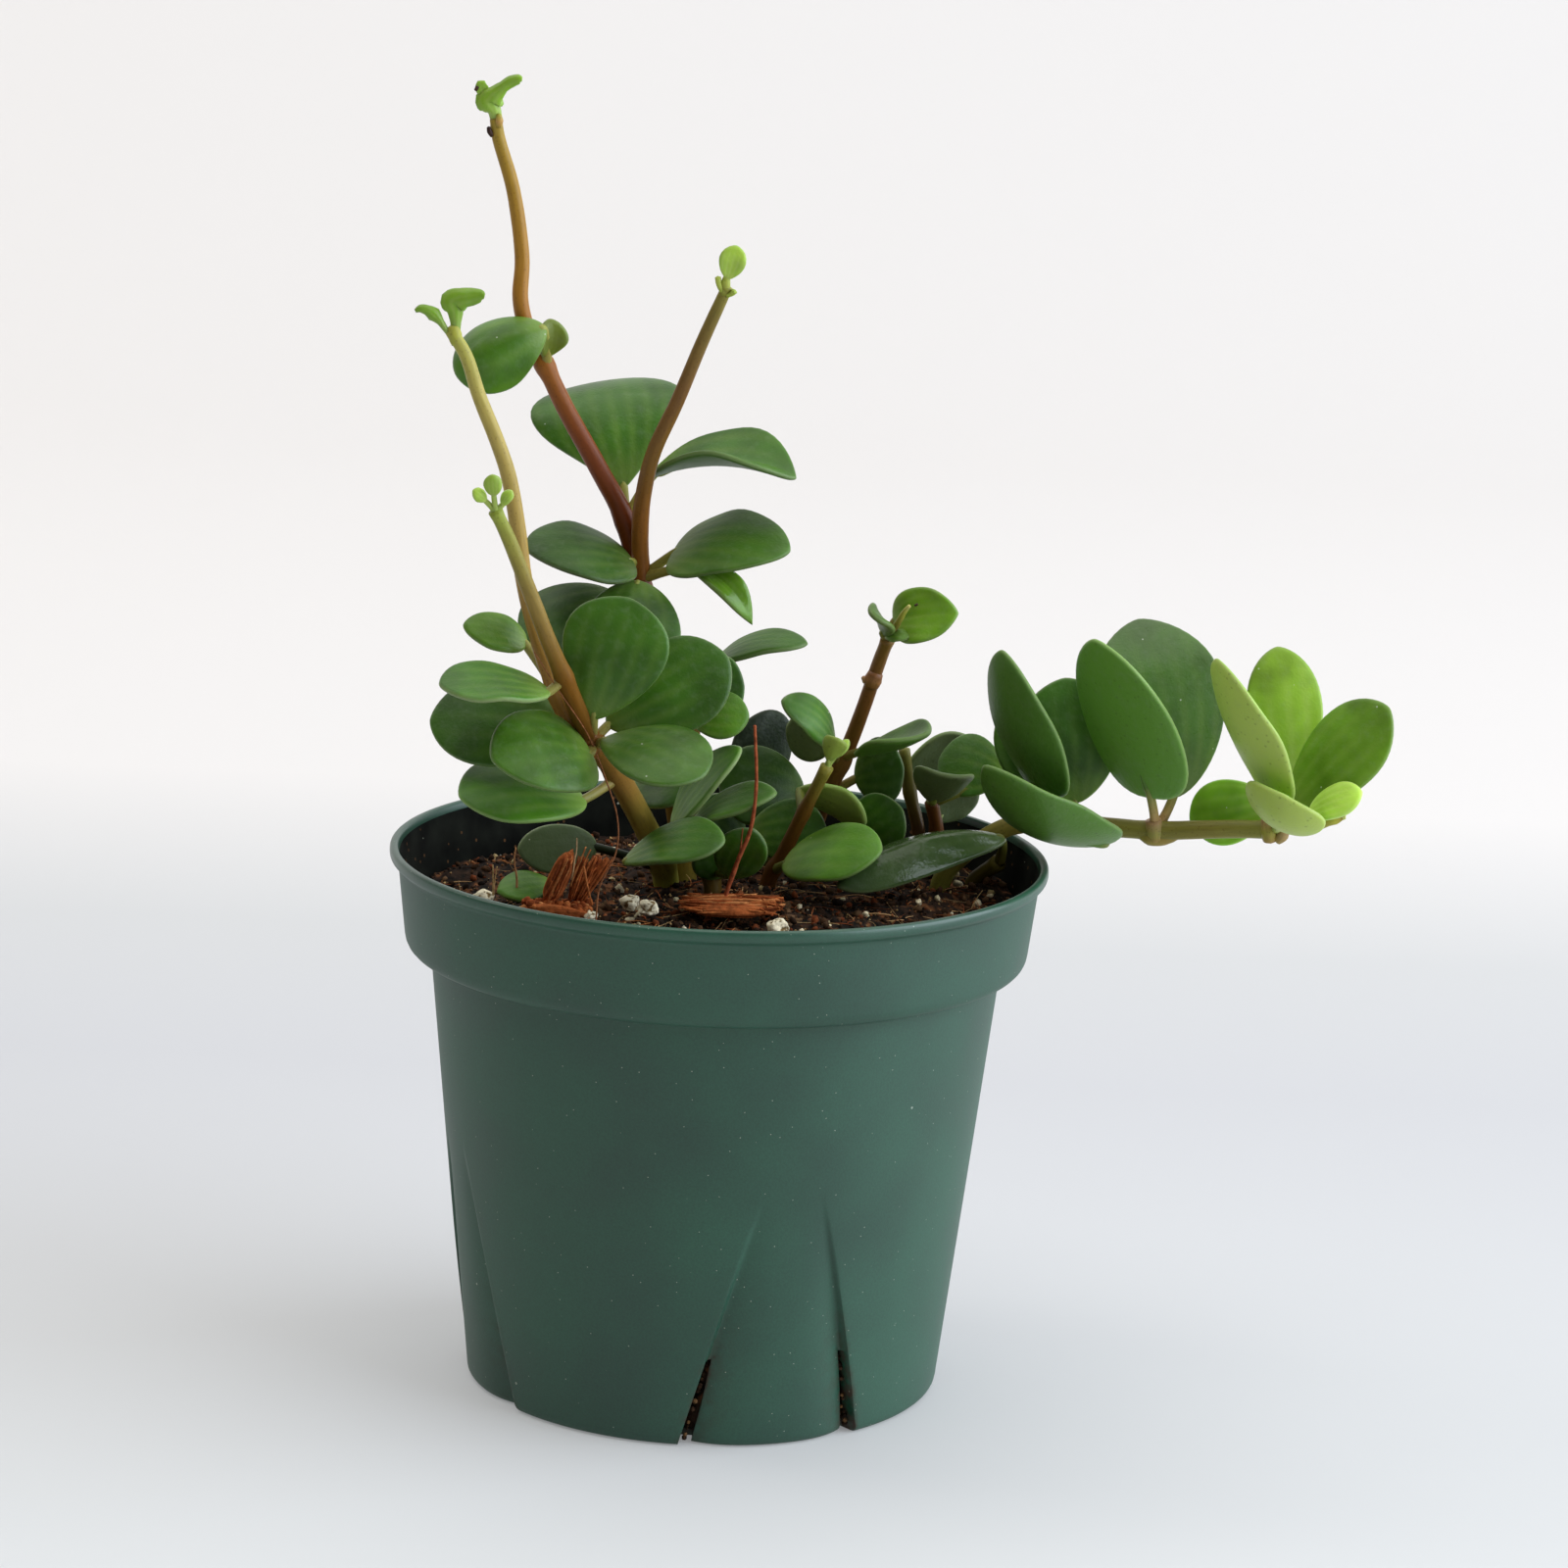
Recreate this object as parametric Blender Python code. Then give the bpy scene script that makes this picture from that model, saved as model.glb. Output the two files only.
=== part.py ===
"""Trailing jade peperomia in a round green nursery pot, at its real size.

Blender 4.5, metres, +Z up. The origin is the middle of the pot's flat base on the surface it stands
on, +X is to the right and +Y away from the front. The pot is turned plastic with four pressed-in
panels and drain slits at its foot. It is filled with soil, which has a plain hole for the foot of
each leafy stem. Every leafy stem is one solid: its shoots, leaf stalks and blades joined by one union.
"""

import math

import bmesh
import bpy
import numpy as np

MM = 0.001

# Pot, in millimetres: a 4 inch nursery pot.
RIM_RADIUS = 54.0
RIM_TOP = 89.1
LIP_FLARE_Z = 86.5
BAND_RADIUS_TOP = 52.6
BAND_RADIUS_FOOT = 51.0
BAND_FOOT_Z = 72.5
BODY_RADIUS_TOP = 47.0
BODY_RADIUS_FOOT = 39.4
FOOT_ROUND = 1.6
LIP_THICKNESS = 1.5
LIP_ROUND = 0.6
WALL = 0.9
FLOOR = 1.2
WALL_COLUMNS = 6

# The four panels pressed into the wall, and the slits along their lower edges.
PANEL_COUNT = 4
PANEL_TURN = 19.0
PANEL_TOP_Z = 42.0
PANEL_HALF_TOP = 7.2
PANEL_HALF_FOOT = 22.5
PANEL_DEPTH = 2.4
PANEL_STEP = 0.7
PANEL_SPREAD_INSIDE = 1.3
PANEL_SPREAD_SOIL = 1.9
SLIT_TOP_Z = 15.0
SLIT_WIDTH_FOOT = 2.0
SLIT_WIDTH_TOP = 0.9
SLIT_REACH_IN = 6.0
SLIT_REACH_OUT = 3.0

# Soil and what lies on it.
SOIL_LEVEL = 80.0
SOIL_BUMP = 0.8
CLEARANCE = 0.3
HOLE_CLEARANCE = 0.4
HOLE_CUT_ABOVE = 4.0
SOIL_RINGS = (1.0, 0.86, 0.7, 0.52, 0.34, 0.16)
SOIL_CHORD = 0.35

# Blades, stalks and stems.
BLADE_THICKNESS = 1.1
YOUNG_BLADE_THICKNESS = 0.8
BLADE_SIDES = 12
YOUNG_BLADE_SIDES = 8
BLADE_INNER_RING = 0.58
SMALL_BLADE = 5.0
STALK_RADIUS = 0.75
YOUNG_STALK_RADIUS = 0.45
STALK_SIDES = 5
STEM_SIDES = 6
STEM_STEPS = 2
STALK_INTO_BLADE = 0.12
STALK_BEND = 0.55
RING_START = (0.3, 1.0, 0.1)
SHARP_ANGLE = 35.0

# Pieces that lie loose on the soil.
FLAT_CHIP_SIZE = (20.0, 10.0, 3.0)
FLAT_CHIP_GRID = (7, 4)
FLAT_CHIP_PLACE = (2.0, -12.0)
FLAT_CHIP_TURN = 3.0
SPLIT_CHIP_PLACE = (-26.0, -12.0)
SPLIT_CHIP_WIDTH = 7.0
SPLIT_CHIP_HEIGHT = 11.0
SPLIT_CHIP_SPREAD = 3.0
SPLIT_CHIP_LEAN = -1.0
SPLIT_CHIP_STRANDS = 6
SPLIT_CHIP_STRAND_RADII = (1.3, 1.1, 0.5)
SPLIT_CHIP_BLOCK_RADII = (2.2, 2.0)
SPLIT_CHIP_SEED = 3
PERLITE_GRAINS = ((-38.3, -5.6, 3.8), (-14.2, -10, 4.0), (-10.8, -15.5, 4.2), (9.8, -21, 3.8),
                  (-20.2, -16, 2.4))

# Each leafy stem has shoots and leaves, in millimetres. A shoot is (foot radius, tip radius, points
# from foot to tip). A leaf is (shoot, place along its points, foot of the blade, tip of the blade,
# width, (heading, lift) that its upper face looks to, arch along it, cup across it, wedge).
# Heading 0 is +X and 90 is +Y, lift 90 is up. Arch is a share of the length and cup a share of half
# the width, both towards the upper face. Wedge 1 is widest near the tip and -1 near the foot.
LEAFY_STEMS = {
    "tall_vine": {
        "shoots": [
            (2.1, 1.7, [(-6, 17, 69), (-6, 17, 81), (-8, 14, 95), (-11, 11, 108), (-13.5, 8, 121),
                        (-14.5, 5.5, 131)]),
            (1.7, 1.0, [(-14.5, 5.5, 131), (-17.5, 6, 142), (-22, 5, 150.5), (-27.5, 4, 160),
                        (-31, 3, 167), (-34, 3, 172.5), (-35.5, 3, 178), (-35.5, 4, 185),
                        (-37, 5, 195), (-39, 6, 203), (-40, 6, 207)]),
            (1.5, 0.9, [(-14.5, 5.5, 131), (-15, 3, 141), (-14.5, 1, 148), (-13, -1, 155),
                        (-9.5, -3, 163.5), (-6, -5, 173), (-3, -7, 180.5), (-2.2, -7.5, 182.5)]),
        ],
        "leaves": [
            (1, 4, (-31, -1, 174), (-45.5, -4, 166.6), 13.5, (-100, 25), 0.14, -0.6, -0.1),
            (1, 4.2, (-30, 3.5, 169.5), (-29, 1, 175), 5.5, (-60, 10), 0.2, -0.3, 0),
            (1, 1, (-18, 9, 147), (-23, 22, 164.5), 27, (-90, 35), 0.12, -0.1, 0.8),
            (1, 1, (-14, 7, 149.5), (10, -2, 151.5), 15, (-90, 78), 0.1, 0.12, 0),
            (1, 0.4, (-16, 2, 136), (-33, -6, 138.8), 17, (-90, 66), 0.1, -0.1, -0.6),
            (2, 0.2, (-9.5, 4, 137.5), (9.5, -5, 140), 16.5, (-90, 58), 0.12, -0.1, -0.9),
            (2, 0.2, (-6.8, 0, 136.3), (4, -7, 129.7), 5.5, (-70, 35), 0.15, 0, 0),
            (0, 4.9, (-18, 3.5, 130), (-33, -5, 123.5), 16, (-110, 45), 0.1, -0.1, 0),
            (0, 4.9, (-15, -1, 133.5), (-16.5, -12, 119), 17, (-90, 35), 0.15, -0.12, 0),
            (0, 2.3, (-15, 9, 96.5), (-3.5, 4, 100.5), 13, (-90, 50), 0.1, -0.05, 0),
            (1, 10, (-40, 5, 208.5), (-36.5, 2, 213.5), 3.5, (-120, 30), 0.1, -0.2, 0),
            (1, 10, (-40.5, 5, 208), (-43, 2.5, 212.5), 4, (-90, 30), 0.1, -0.2, 0),
            (2, 7, (-1.8, -7.5, 184), (-0.6, -9, 189), 4.5, (-90, 10), 0.1, -0.3, 0),
            (2, 7, (-3.2, -8, 183), (-4.6, -9, 184.6), 1.8, (-90, 40), 0.1, -0.3, 0),
        ]},
    "rosette_vine": {
        "shoots": [
            (2.2, 1.8, [(-9, 12, 69), (-9, 12, 81), (-11.5, 3, 90), (-15, -8, 99.5), (-18.5, -17, 107.5),
                        (-21, -22, 111)]),
            (1.6, 1.0, [(-21, -22, 111), (-24.5, -23, 115), (-27.5, -25, 122.5), (-30, -27, 130.5),
                        (-32, -28, 138.5), (-33, -29, 146), (-34.5, -30, 154), (-36.5, -31, 160),
                        (-39.5, -31, 167), (-41.5, -32, 173), (-44, -32, 177)]),
            (1.6, 1.0, [(-21, -22, 111), (-22.5, -26, 116), (-25, -32, 123.5), (-27.5, -37, 130.5),
                        (-30.5, -41, 139), (-33.5, -44, 147), (-35.5, -46, 151.5)]),
        ],
        "leaves": [
            (0, 4.8, (-20.5, -25.5, 115.5), (-15.5, -24, 135), 18, (-90, 22), 0.08, -0.08, 0.4),
            (0, 4.9, (-18.5, -20, 113.5), (0.5, -19, 125), 16, (-85, 25), 0.08, -0.05, 0.2),
            (0, 4.7, (-19, -25, 112), (-2.5, -38, 109.5), 16, (-75, 55), 0.1, -0.08, 0.4),
            (0, 4.9, (-20.5, -27, 110), (-35.5, -40, 111.5), 16.5, (-95, 40), 0.1, -0.08, -0.6),
            (2, 2, (-27, -33, 121), (-44, -38, 122.5), 15, (-90, 76), 0.06, 0.05, 0),
            (0, 4.9, (-24, -22, 112.5), (-46.5, -22, 113.5), 16, (-90, 35), 0.08, -0.05, 0),
            (0, 3.5, (-21.5, -20, 101), (-41, -30, 103), 17, (-92, 62), 0.1, -0.08, 0),
            (1, 1.6, (-31.5, -22, 126.5), (-41.5, -24, 129.5), 7, (-90, 45), 0.12, -0.05, -0.4),
            (0, 1.3, (-21.5, 8, 87), (-33.5, 5, 86.7), 8.5, (-90, 15), 0.08, -0.05, 0),
            (0, 1.6, (-15.5, -7, 88), (1, -15, 94), 11, (-80, 55), 0.1, 0.05, 0.3),
            (1, 10, (-43, -32.5, 179), (-39, -33, 182.5), 4.5, (-110, 30), 0.12, -0.2, 0),
            (1, 10, (-45, -32, 178.5), (-49.5, -33, 179.5), 3, (-90, 60), 0.12, -0.2, 0),
            (2, 6, (-35.8, -46.5, 154), (-36, -48, 157.5), 3, (-90, 10), 0.12, -0.2, 0),
            (2, 6, (-37, -46, 153), (-39, -47, 154.8), 2.2, (-90, 30), 0.12, -0.2, 0),
            (2, 6, (-34.5, -46, 152.5), (-33, -47, 155), 2, (-90, 30), 0.12, -0.2, 0),
        ]},
    "low_shoot": {
        "shoots": [
            (1.6, 1.2, [(-1, 6, 71), (-1, 6, 81), (-2.5, 7, 87), (-4.5, 10, 94), (-5.5, 11, 104),
                        (-4.5, 10, 112)]),
        ],
        "leaves": [
            (0, 2, (-8, -3, 92.2), (3, -6, 107.7), 10, (-150, 38), 0.08, 0.1, 0),
            (0, 2, (-6, -1, 91), (9, -9, 101), 9.5, (-100, 66), 0.12, 0.1, 0),
            (0, 1.6, (1.5, -1, 85), (5.5, -6, 94.4), 9, (-70, 35), 0.1, 0, 0),
            (0, 1.4, (0.5, 4.5, 83.8), (-2.5, 0.5, 90.8), 9, (-90, 30), 0.1, 0, 0),
            (0, 5, (-5.5, -2, 111.5), (4, -4, 112.5), 8.5, (-90, 30), 0.1, -0.05, 0),
            (0, 5, (-4, 1.5, 115.6), (3, 0.5, 116.6), 11, (-90, 12), 0.05, 0, 0),
            (0, 5, (-3.5, 10, 116.5), (13, 4, 123.3), 9, (-115, 72), 0.14, 0, 0),
        ]},
    "back_shoot": {
        "shoots": [
            (1.6, 1.2, [(7, 28, 71), (7, 28, 81), (8, 27.5, 90), (9, 27, 97)]),
        ],
        "leaves": [
            (0, 3, (10, 28.5, 97), (2, 26, 104.3), 14, (-90, 30), 0.08, -0.05, 0),
            (0, 2.6, (13.5, 23, 94.2), (-1, 20.5, 96.5), 14.5, (-90, 25), 0.08, -0.05, 0),
            (0, 1.3, (4.5, 16.5, 88.3), (17.5, 14, 90), 11.5, (-90, 25), 0.08, -0.05, 0),
            (0, 1.4, (3.5, 24, 85), (-5, 20, 91.5), 11, (-90, 30), 0.08, -0.05, 0),
        ]},
    "front_shoot": {
        "shoots": [
            (1.5, 1.0, [(8, 10, 70), (8, 10, 81), (10.5, 9, 87), (13.5, 7, 94.5), (17, 4, 103)]),
        ],
        "leaves": [
            (0, 1.5, (10.5, 5.5, 85.8), (26.5, -5, 91.2), 13, (-85, 48), 0.1, -0.05, 0),
            (0, 3, (12.4, 11.5, 97.3), (24, 9.5, 92.3), 9, (90, 45), 0.06, 0.15, 0),
            (0, 4, (17.1, 3.7, 103.8), (18.6, 1.8, 108.4), 4.4, (80, 20), 0, 0.5, 0.8),
            (0, 4, (18, 4.2, 104.4), (20.4, 4.6, 107.6), 2, (-90, 20), 0.1, 0.1, 0),
        ]},
    "upright_shoot": {
        "shoots": [
            (1.6, 1.1, [(14, 26, 70), (14, 26, 81), (16, 24, 90), (18.3, 21, 97), (20.8, 19, 104),
                        (22.9, 17, 111), (24.9, 15, 118.5), (26.2, 13, 123)]),
        ],
        "leaves": [
            (0, 7, (27, 13.5, 126), (37.5, 8, 128.8), 9.5, (-85, 20), 0.1, -0.05, -0.6),
            (0, 7, (25.5, 12, 124), (23, 6, 128.5), 6, (10, 40), 0.1, 0.3, 0),
            (0, 7, (25.7, 11.5, 123.7), (29.8, 8.5, 124.3), 3, (-90, 50), 0.1, -0.05, 0),
            (0, 3.4, (18, 17.5, 103), (9, 10, 112.5), 8, (-50, 35), 0.14, 0, 0),
            (0, 3.6, (22, 16, 103.2), (33.3, 7, 108.6), 12.5, (-100, 80), -0.05, 0.45, 0),
            (0, 3.4, (17.5, 20, 102.5), (10, 24, 105.2), 10, (100, 20), 0.1, 0, 0),
            (0, 2.6, (22, 22, 97.3), (30, 18, 100.5), 12, (-90, 22), 0.08, -0.05, 0),
            (0, 1.6, (22, 18, 87.2), (30, 14, 94.2), 11, (-90, 22), 0.08, -0.05, 0),
        ]},
    "small_shoot": {
        "shoots": [
            (1.3, 1.0, [(34, 23, 71), (34, 23, 81), (33, 24, 88.5), (31.3, 23.5, 95), (30, 22.5, 102.5)]),
            (1.3, 1.1, [(34, 23, 81), (36, 22.5, 88), (35, 21, 94)]),
        ],
        "leaves": [
            (0, 3, (30.5, 30.5, 96.8), (44, 33.5, 98.2), 14.5, (90, 25), 0.08, -0.05, 0),
            (1, 2, (35, 19, 94.6), (37.6, 12.5, 100.6), 11, (90, 60), 0, 0.5, 0.3),
            (1, 2, (47, 23, 98.5), (36, 26, 100.2), 12, (-95, 30), 0.08, -0.05, 0),
            (1, 1, (36, 27, 89.5), (43, 29, 95), 8, (90, 30), 0.08, 0, 0),
        ]},
    "trailing_vine": {
        "shoots": [
            (1.7, 1.5, [(37, 17, 71), (37, 17, 81), (41, 17, 86.5), (48, 16, 91.5), (56, 14, 92.8),
                        (64, 12, 93), (72, 10, 93.2), (79, 8, 94.1), (85, 7, 94.7), (91, 5, 95.3)]),
            (1.0, 0.7, [(91, 5, 95.3), (97, 3, 96.5), (102, 1.5, 99)]),
        ],
        "leaves": [
            (0, 4.2, (53.5, 5.5, 99.3), (44.5, -1.5, 124.8), 16, (37, 15), -0.06, 0.25, -0.9),
            (0, 4.3, (58.5, 15, 96), (56, 17, 117), 18, (-82, 15), 0.06, -0.05, 0),
            (0, 4.1, (53.3, 17, 96), (48.8, 19, 113), 13, (-90, 20), 0.06, -0.05, 0),
            (0, 4.6, (64, 3, 92.5), (42.3, -8, 107), 15, (60, 35), -0.15, 0.3, -0.8),
            (0, 6, (70.8, 6, 99.5), (59.2, -3, 127.5), 20, (46, 15), -0.01, 0.15, -0.9),
            (0, 6, (75, 11.5, 98.5), (68.5, 16, 127.5), 22.5, (-85, 12), 0.06, -0.05, 0),
            (0, 9, (91, 2, 100.5), (79, -5, 125.5), 14.5, (30, 20), -0.02, 0.25, -0.9),
            (0, 9, (94, 8, 102), (90.5, 13, 124.5), 13, (-88, 12), 0.06, -0.05, 0),
            (0, 9, (93.5, 5.5, 98.7), (108, -0.5, 117.7), 15, (-118, 30), 0.06, -0.05, 0.2),
            (0, 9, (91, 9, 99), (78, 15, 94), 11.5, (-90, 12), 0.06, -0.05, 0),
            (0, 9, (91.5, 1, 96.7), (91, -8, 104.2), 15, (30, 60), -0.15, 0.4, 0),
            (1, 1, (96, -0.5, 99.4), (104, -5, 104.4), 6.5, (-90, 40), 0.06, -0.05, 0),
        ]},
    "leaning_leaf": {
        "shoots": [
            (1.4, 1.3, [(42.5, 18.5, 76), (42.5, 18.5, 81), (46.5, 15, 85.5)]),
        ],
        "leaves": [
            (0, 2, (47.3, 12.2, 90.2), (19.5, -4.3, 84.6), 12.5, (-95, 76), 0.06, -0.3, 0),
        ]},
}
FALLEN_LEAF = (0, 0, (-27.5, 1, 81), (-36, -3.5, 81), 6.5, (-90, 80), 0.08, -0.1, 0)


def linear(channel):
    """One sRGB channel, 0 to 1, as linear light."""
    if channel <= 0.04045:
        return channel / 12.92
    return ((channel + 0.055) / 1.055) ** 2.4


def material(name, colour, roughness):
    """A Principled BSDF with an sRGB hex colour; nothing here is metal."""
    made = bpy.data.materials.new(name)
    made.use_nodes = True
    shader = made.node_tree.nodes["Principled BSDF"]
    rgb = [linear(int(colour[i:i + 2], 16) / 255) for i in (0, 2, 4)]
    shader.inputs["Base Color"].default_value = (*rgb, 1.0)
    shader.inputs["Roughness"].default_value = roughness
    shader.inputs["Metallic"].default_value = 0.0
    return made


def add_object(name, points, faces, finish=None):
    """A mesh object from points in millimetres."""
    mesh = bpy.data.meshes.new(name)
    corners = [list(map(int, face)) for face in faces]
    mesh.from_pydata((np.asarray(points, float) * MM).tolist(), [], corners)
    mesh.update()
    made = bpy.data.objects.new(name, mesh)
    bpy.context.scene.collection.objects.link(made)
    if finish:
        mesh.materials.append(finish)
    return made


def boolean(target, others, operation, solver="EXACT"):
    """Joins or cuts target by a list of objects, applies the result and removes them."""
    group = bpy.data.collections.new("joined")
    bpy.context.scene.collection.children.link(group)
    for other in others:
        group.objects.link(other)
        bpy.context.scene.collection.objects.unlink(other)
    modifier = target.modifiers.new("joined", "BOOLEAN")
    modifier.operation = operation
    modifier.operand_type = "COLLECTION"
    modifier.collection = group
    modifier.solver = solver
    if solver == "EXACT":
        modifier.use_self = operation == "UNION"
    graph = bpy.context.evaluated_depsgraph_get()
    applied = bpy.data.meshes.new_from_object(target.evaluated_get(graph))
    target.modifiers.clear()
    target.data = applied
    for other in list(group.objects):
        bpy.data.objects.remove(other)
    bpy.data.collections.remove(group)


def ring_bands(rings):
    """Triangles between closed rings that run up the outside. A wall's rings that come back down
    the inside take the other diagonal, so that both faces of the wall are split alike."""
    faces = []
    columns = len(rings[0])
    for row in range(len(rings) - 1):
        rising = rings[row + 1][0][2] >= rings[row][0][2]
        for column in range(columns):
            a = row * columns + column
            b = row * columns + (column + 1) % columns
            c, d = b + columns, a + columns
            faces += [(a, b, c), (a, c, d)] if rising else [(a, b, d), (b, c, d)]
    return faces


# Blades, stalks and stems

def direction(heading, lift):
    """The unit vector with that heading and lift in degrees."""
    turn, rise = math.radians(heading), math.radians(lift)
    return np.array([math.cos(turn) * math.cos(rise), math.sin(turn) * math.cos(rise), math.sin(rise)])


def blade_axes(foot, tip, face):
    """A blade's unit axes along, across and up out of its upper face, and its length."""
    along = np.subtract(tip, foot).astype(float)
    length = np.linalg.norm(along)
    along /= length
    up = direction(*face)
    up -= up @ along * along
    up /= np.linalg.norm(up)
    return along, np.cross(up, along), up, length


def half_width(s, wedge):
    """Half the blade's width at s along it, as a share of its widest: a stretched circle."""
    shifted = s ** (1.1 + 0.45 * wedge)
    narrowing = max(0.0, 0.2 + 0.35 * wedge)
    return np.sqrt(np.maximum(4 * shifted * (1 - shifted), 0)) * (1 - narrowing * (1 - s) ** 2)


def blade_points(leaf, s, a):
    """Points of the middle surface, s along (0 to 1) and a across (-1 to 1), and the face's direction."""
    foot, tip, width, face, arch, cup = leaf[2:8]
    along, across, up, length = blade_axes(foot, tip, face)
    height = arch * length * 4 * s * (1 - s) + cup * width / 2 * a ** 2
    offsets = np.outer(s * length, along) + np.outer(a * width / 2, across) + np.outer(height, up)
    return np.add(foot, offsets), up


def add_blade(leaf):
    """A closed blade: a middle point, an inner ring and the edge, alike on both faces."""
    small = leaf[4] < SMALL_BLADE
    sides = YOUNG_BLADE_SIDES if small else BLADE_SIDES
    thickness = YOUNG_BLADE_THICKNESS if small else BLADE_THICKNESS
    turn = np.arange(sides) * 2 * np.pi / sides
    s = (1 - np.cos(turn)) / 2
    a = np.sign(np.round(np.sin(turn), 6)) * half_width(s, leaf[8])
    shares = (0.0, 1.0) if small else (0.0, BLADE_INNER_RING, 1.0)
    flat_s = np.concatenate([[0.5]] + [0.5 + share * (s - 0.5) for share in shares[1:]])
    flat_a = np.concatenate([[0.0]] + [share * a for share in shares[1:]])
    middle, up = blade_points(leaf, flat_s, flat_a)
    count = len(middle)
    points = np.concatenate([middle + up * thickness / 2, middle - up * thickness / 2])
    edge = 1 + (len(shares) - 2) * sides
    faces = []
    for k in range(sides):
        following = (k + 1) % sides
        upper = [(0, 1 + following, 1 + k)]
        for inner in range(1, edge, sides):
            outer = inner + sides
            upper.append((inner + k, inner + following, outer + k))
            upper.append((inner + following, outer + following, outer + k))
        for face in upper:
            faces += [face, tuple(count + corner for corner in reversed(face))]
        faces.append((edge + k, edge + following, count + edge + k))
        faces.append((edge + following, count + edge + following, count + edge + k))
    return add_object("blade", points, faces)


def smooth_route(points, steps):
    """The points with steps - 1 more between each two, on a Catmull-Rom curve through them."""
    known = np.array(points, float)
    known = np.vstack([2 * known[0] - known[1], known, 2 * known[-1] - known[-2]])
    t = (np.arange(steps) / steps)[:, None]
    runs = []
    for before, start, end, after in zip(known, known[1:], known[2:], known[3:]):
        square = 2 * before - 5 * start + 4 * end - after
        cube = 3 * start - before - 3 * end + after
        runs.append(0.5 * (2 * start + (end - before) * t + square * t ** 2 + cube * t ** 3))
    return np.vstack(runs + [known[-2:-1]])


def add_tube(route, radii, sides):
    """A closed tube along a route: each ring is turned from the last one by the least twist."""
    tangents = np.gradient(route, axis=0)
    tangents /= np.linalg.norm(tangents, axis=1)[:, None]
    side = np.cross(tangents[0], RING_START)
    turn = np.arange(sides) * 2 * np.pi / sides
    rings = []
    for point, tangent, radius in zip(route, tangents, radii):
        side = side - side @ tangent * tangent
        side /= np.linalg.norm(side)
        other = np.cross(tangent, side)
        rings.append(point + radius * (np.outer(np.cos(turn), side) + np.outer(np.sin(turn), other)))
    count = len(route)
    faces = ring_bands(rings)
    faces.append(tuple(reversed(range(sides))))
    faces.append(tuple(range((count - 1) * sides, count * sides)))
    return add_object("tube", np.concatenate(rings), faces)


def shoot_route(shoot):
    """A shoot's smooth route and its radius at each point."""
    foot_radius, tip_radius, points = shoot
    route = smooth_route(points, STEM_STEPS)
    return route, np.linspace(foot_radius, tip_radius, len(route))


def add_stalk(leaf, shoots):
    """A leaf stalk from the middle of its shoot into the blade's foot."""
    shoot, place, foot = leaf[:3]
    points = np.array(shoots[shoot][2], float)
    whole = min(int(place), len(points) - 2)
    start = points[whole] + (place - whole) * (points[whole + 1] - points[whole])
    end, _ = blade_points(leaf, np.array([STALK_INTO_BLADE]), np.array([0.0]))
    bend = start + STALK_BEND * (np.array(foot, float) - start)
    small = leaf[4] < SMALL_BLADE
    radius = YOUNG_STALK_RADIUS if small else STALK_RADIUS
    route = np.array([start, bend, end[0]])
    return add_tube(route, (radius, radius, radius * 0.8), STALK_SIDES)


def add_leafy_stem(name, plan, finish):
    """One solid of a leafy stem: its shoots, stalks and blades joined by a union."""
    pieces = [add_tube(*shoot_route(shoot), STEM_SIDES) for shoot in plan["shoots"]]
    for leaf in plan["leaves"]:
        pieces.append(add_stalk(leaf, plan["shoots"]))
        pieces.append(add_blade(leaf))
    stem = pieces[0]
    boolean(stem, pieces[1:], "UNION", "MANIFOLD")
    stem.name = name
    stem.data.materials.clear()
    stem.data.materials.append(finish)
    return stem


# Pot

def body_radius(z):
    """The body's outer radius at height z."""
    return BODY_RADIUS_FOOT + (BODY_RADIUS_TOP - BODY_RADIUS_FOOT) * z / BAND_FOOT_Z


def panel_depth(z):
    """How far a panel is pressed in at height z: most at the foot, nothing at its top."""
    return PANEL_DEPTH * max(0.0, 1 - z / PANEL_TOP_Z)


def panel_half(z):
    """Half the angle that a panel spans at height z, in degrees."""
    share = min(1.0, z / PANEL_TOP_Z)
    return PANEL_HALF_FOOT + (PANEL_HALF_TOP - PANEL_HALF_FOOT) * share


def wall_ring(radius, z, spread):
    """One ring of the wall at height z. The columns follow the panels' edges, and spread widens the
    panel, in degrees, for the surfaces behind the outer one."""
    half = panel_half(z) + spread
    inner_edge = half - PANEL_STEP
    quarter = 360 / PANEL_COUNT
    pressed = [-inner_edge, 0.0, inner_edge]
    plain = list(np.linspace(half, quarter - half, WALL_COLUMNS))
    ring = []
    for panel in range(PANEL_COUNT):
        for angle, depth in [(a, panel_depth(z)) for a in pressed] + [(a, 0.0) for a in plain]:
            turn = math.radians(PANEL_TURN + panel * quarter + angle)
            reach = radius - depth
            ring.append((reach * math.sin(turn), -reach * math.cos(turn), z))
    return ring


def turned_wall(profile, spread):
    """Rings for a profile of (radius, z) points."""
    return [wall_ring(radius, z, spread) for radius, z in profile]


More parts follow.
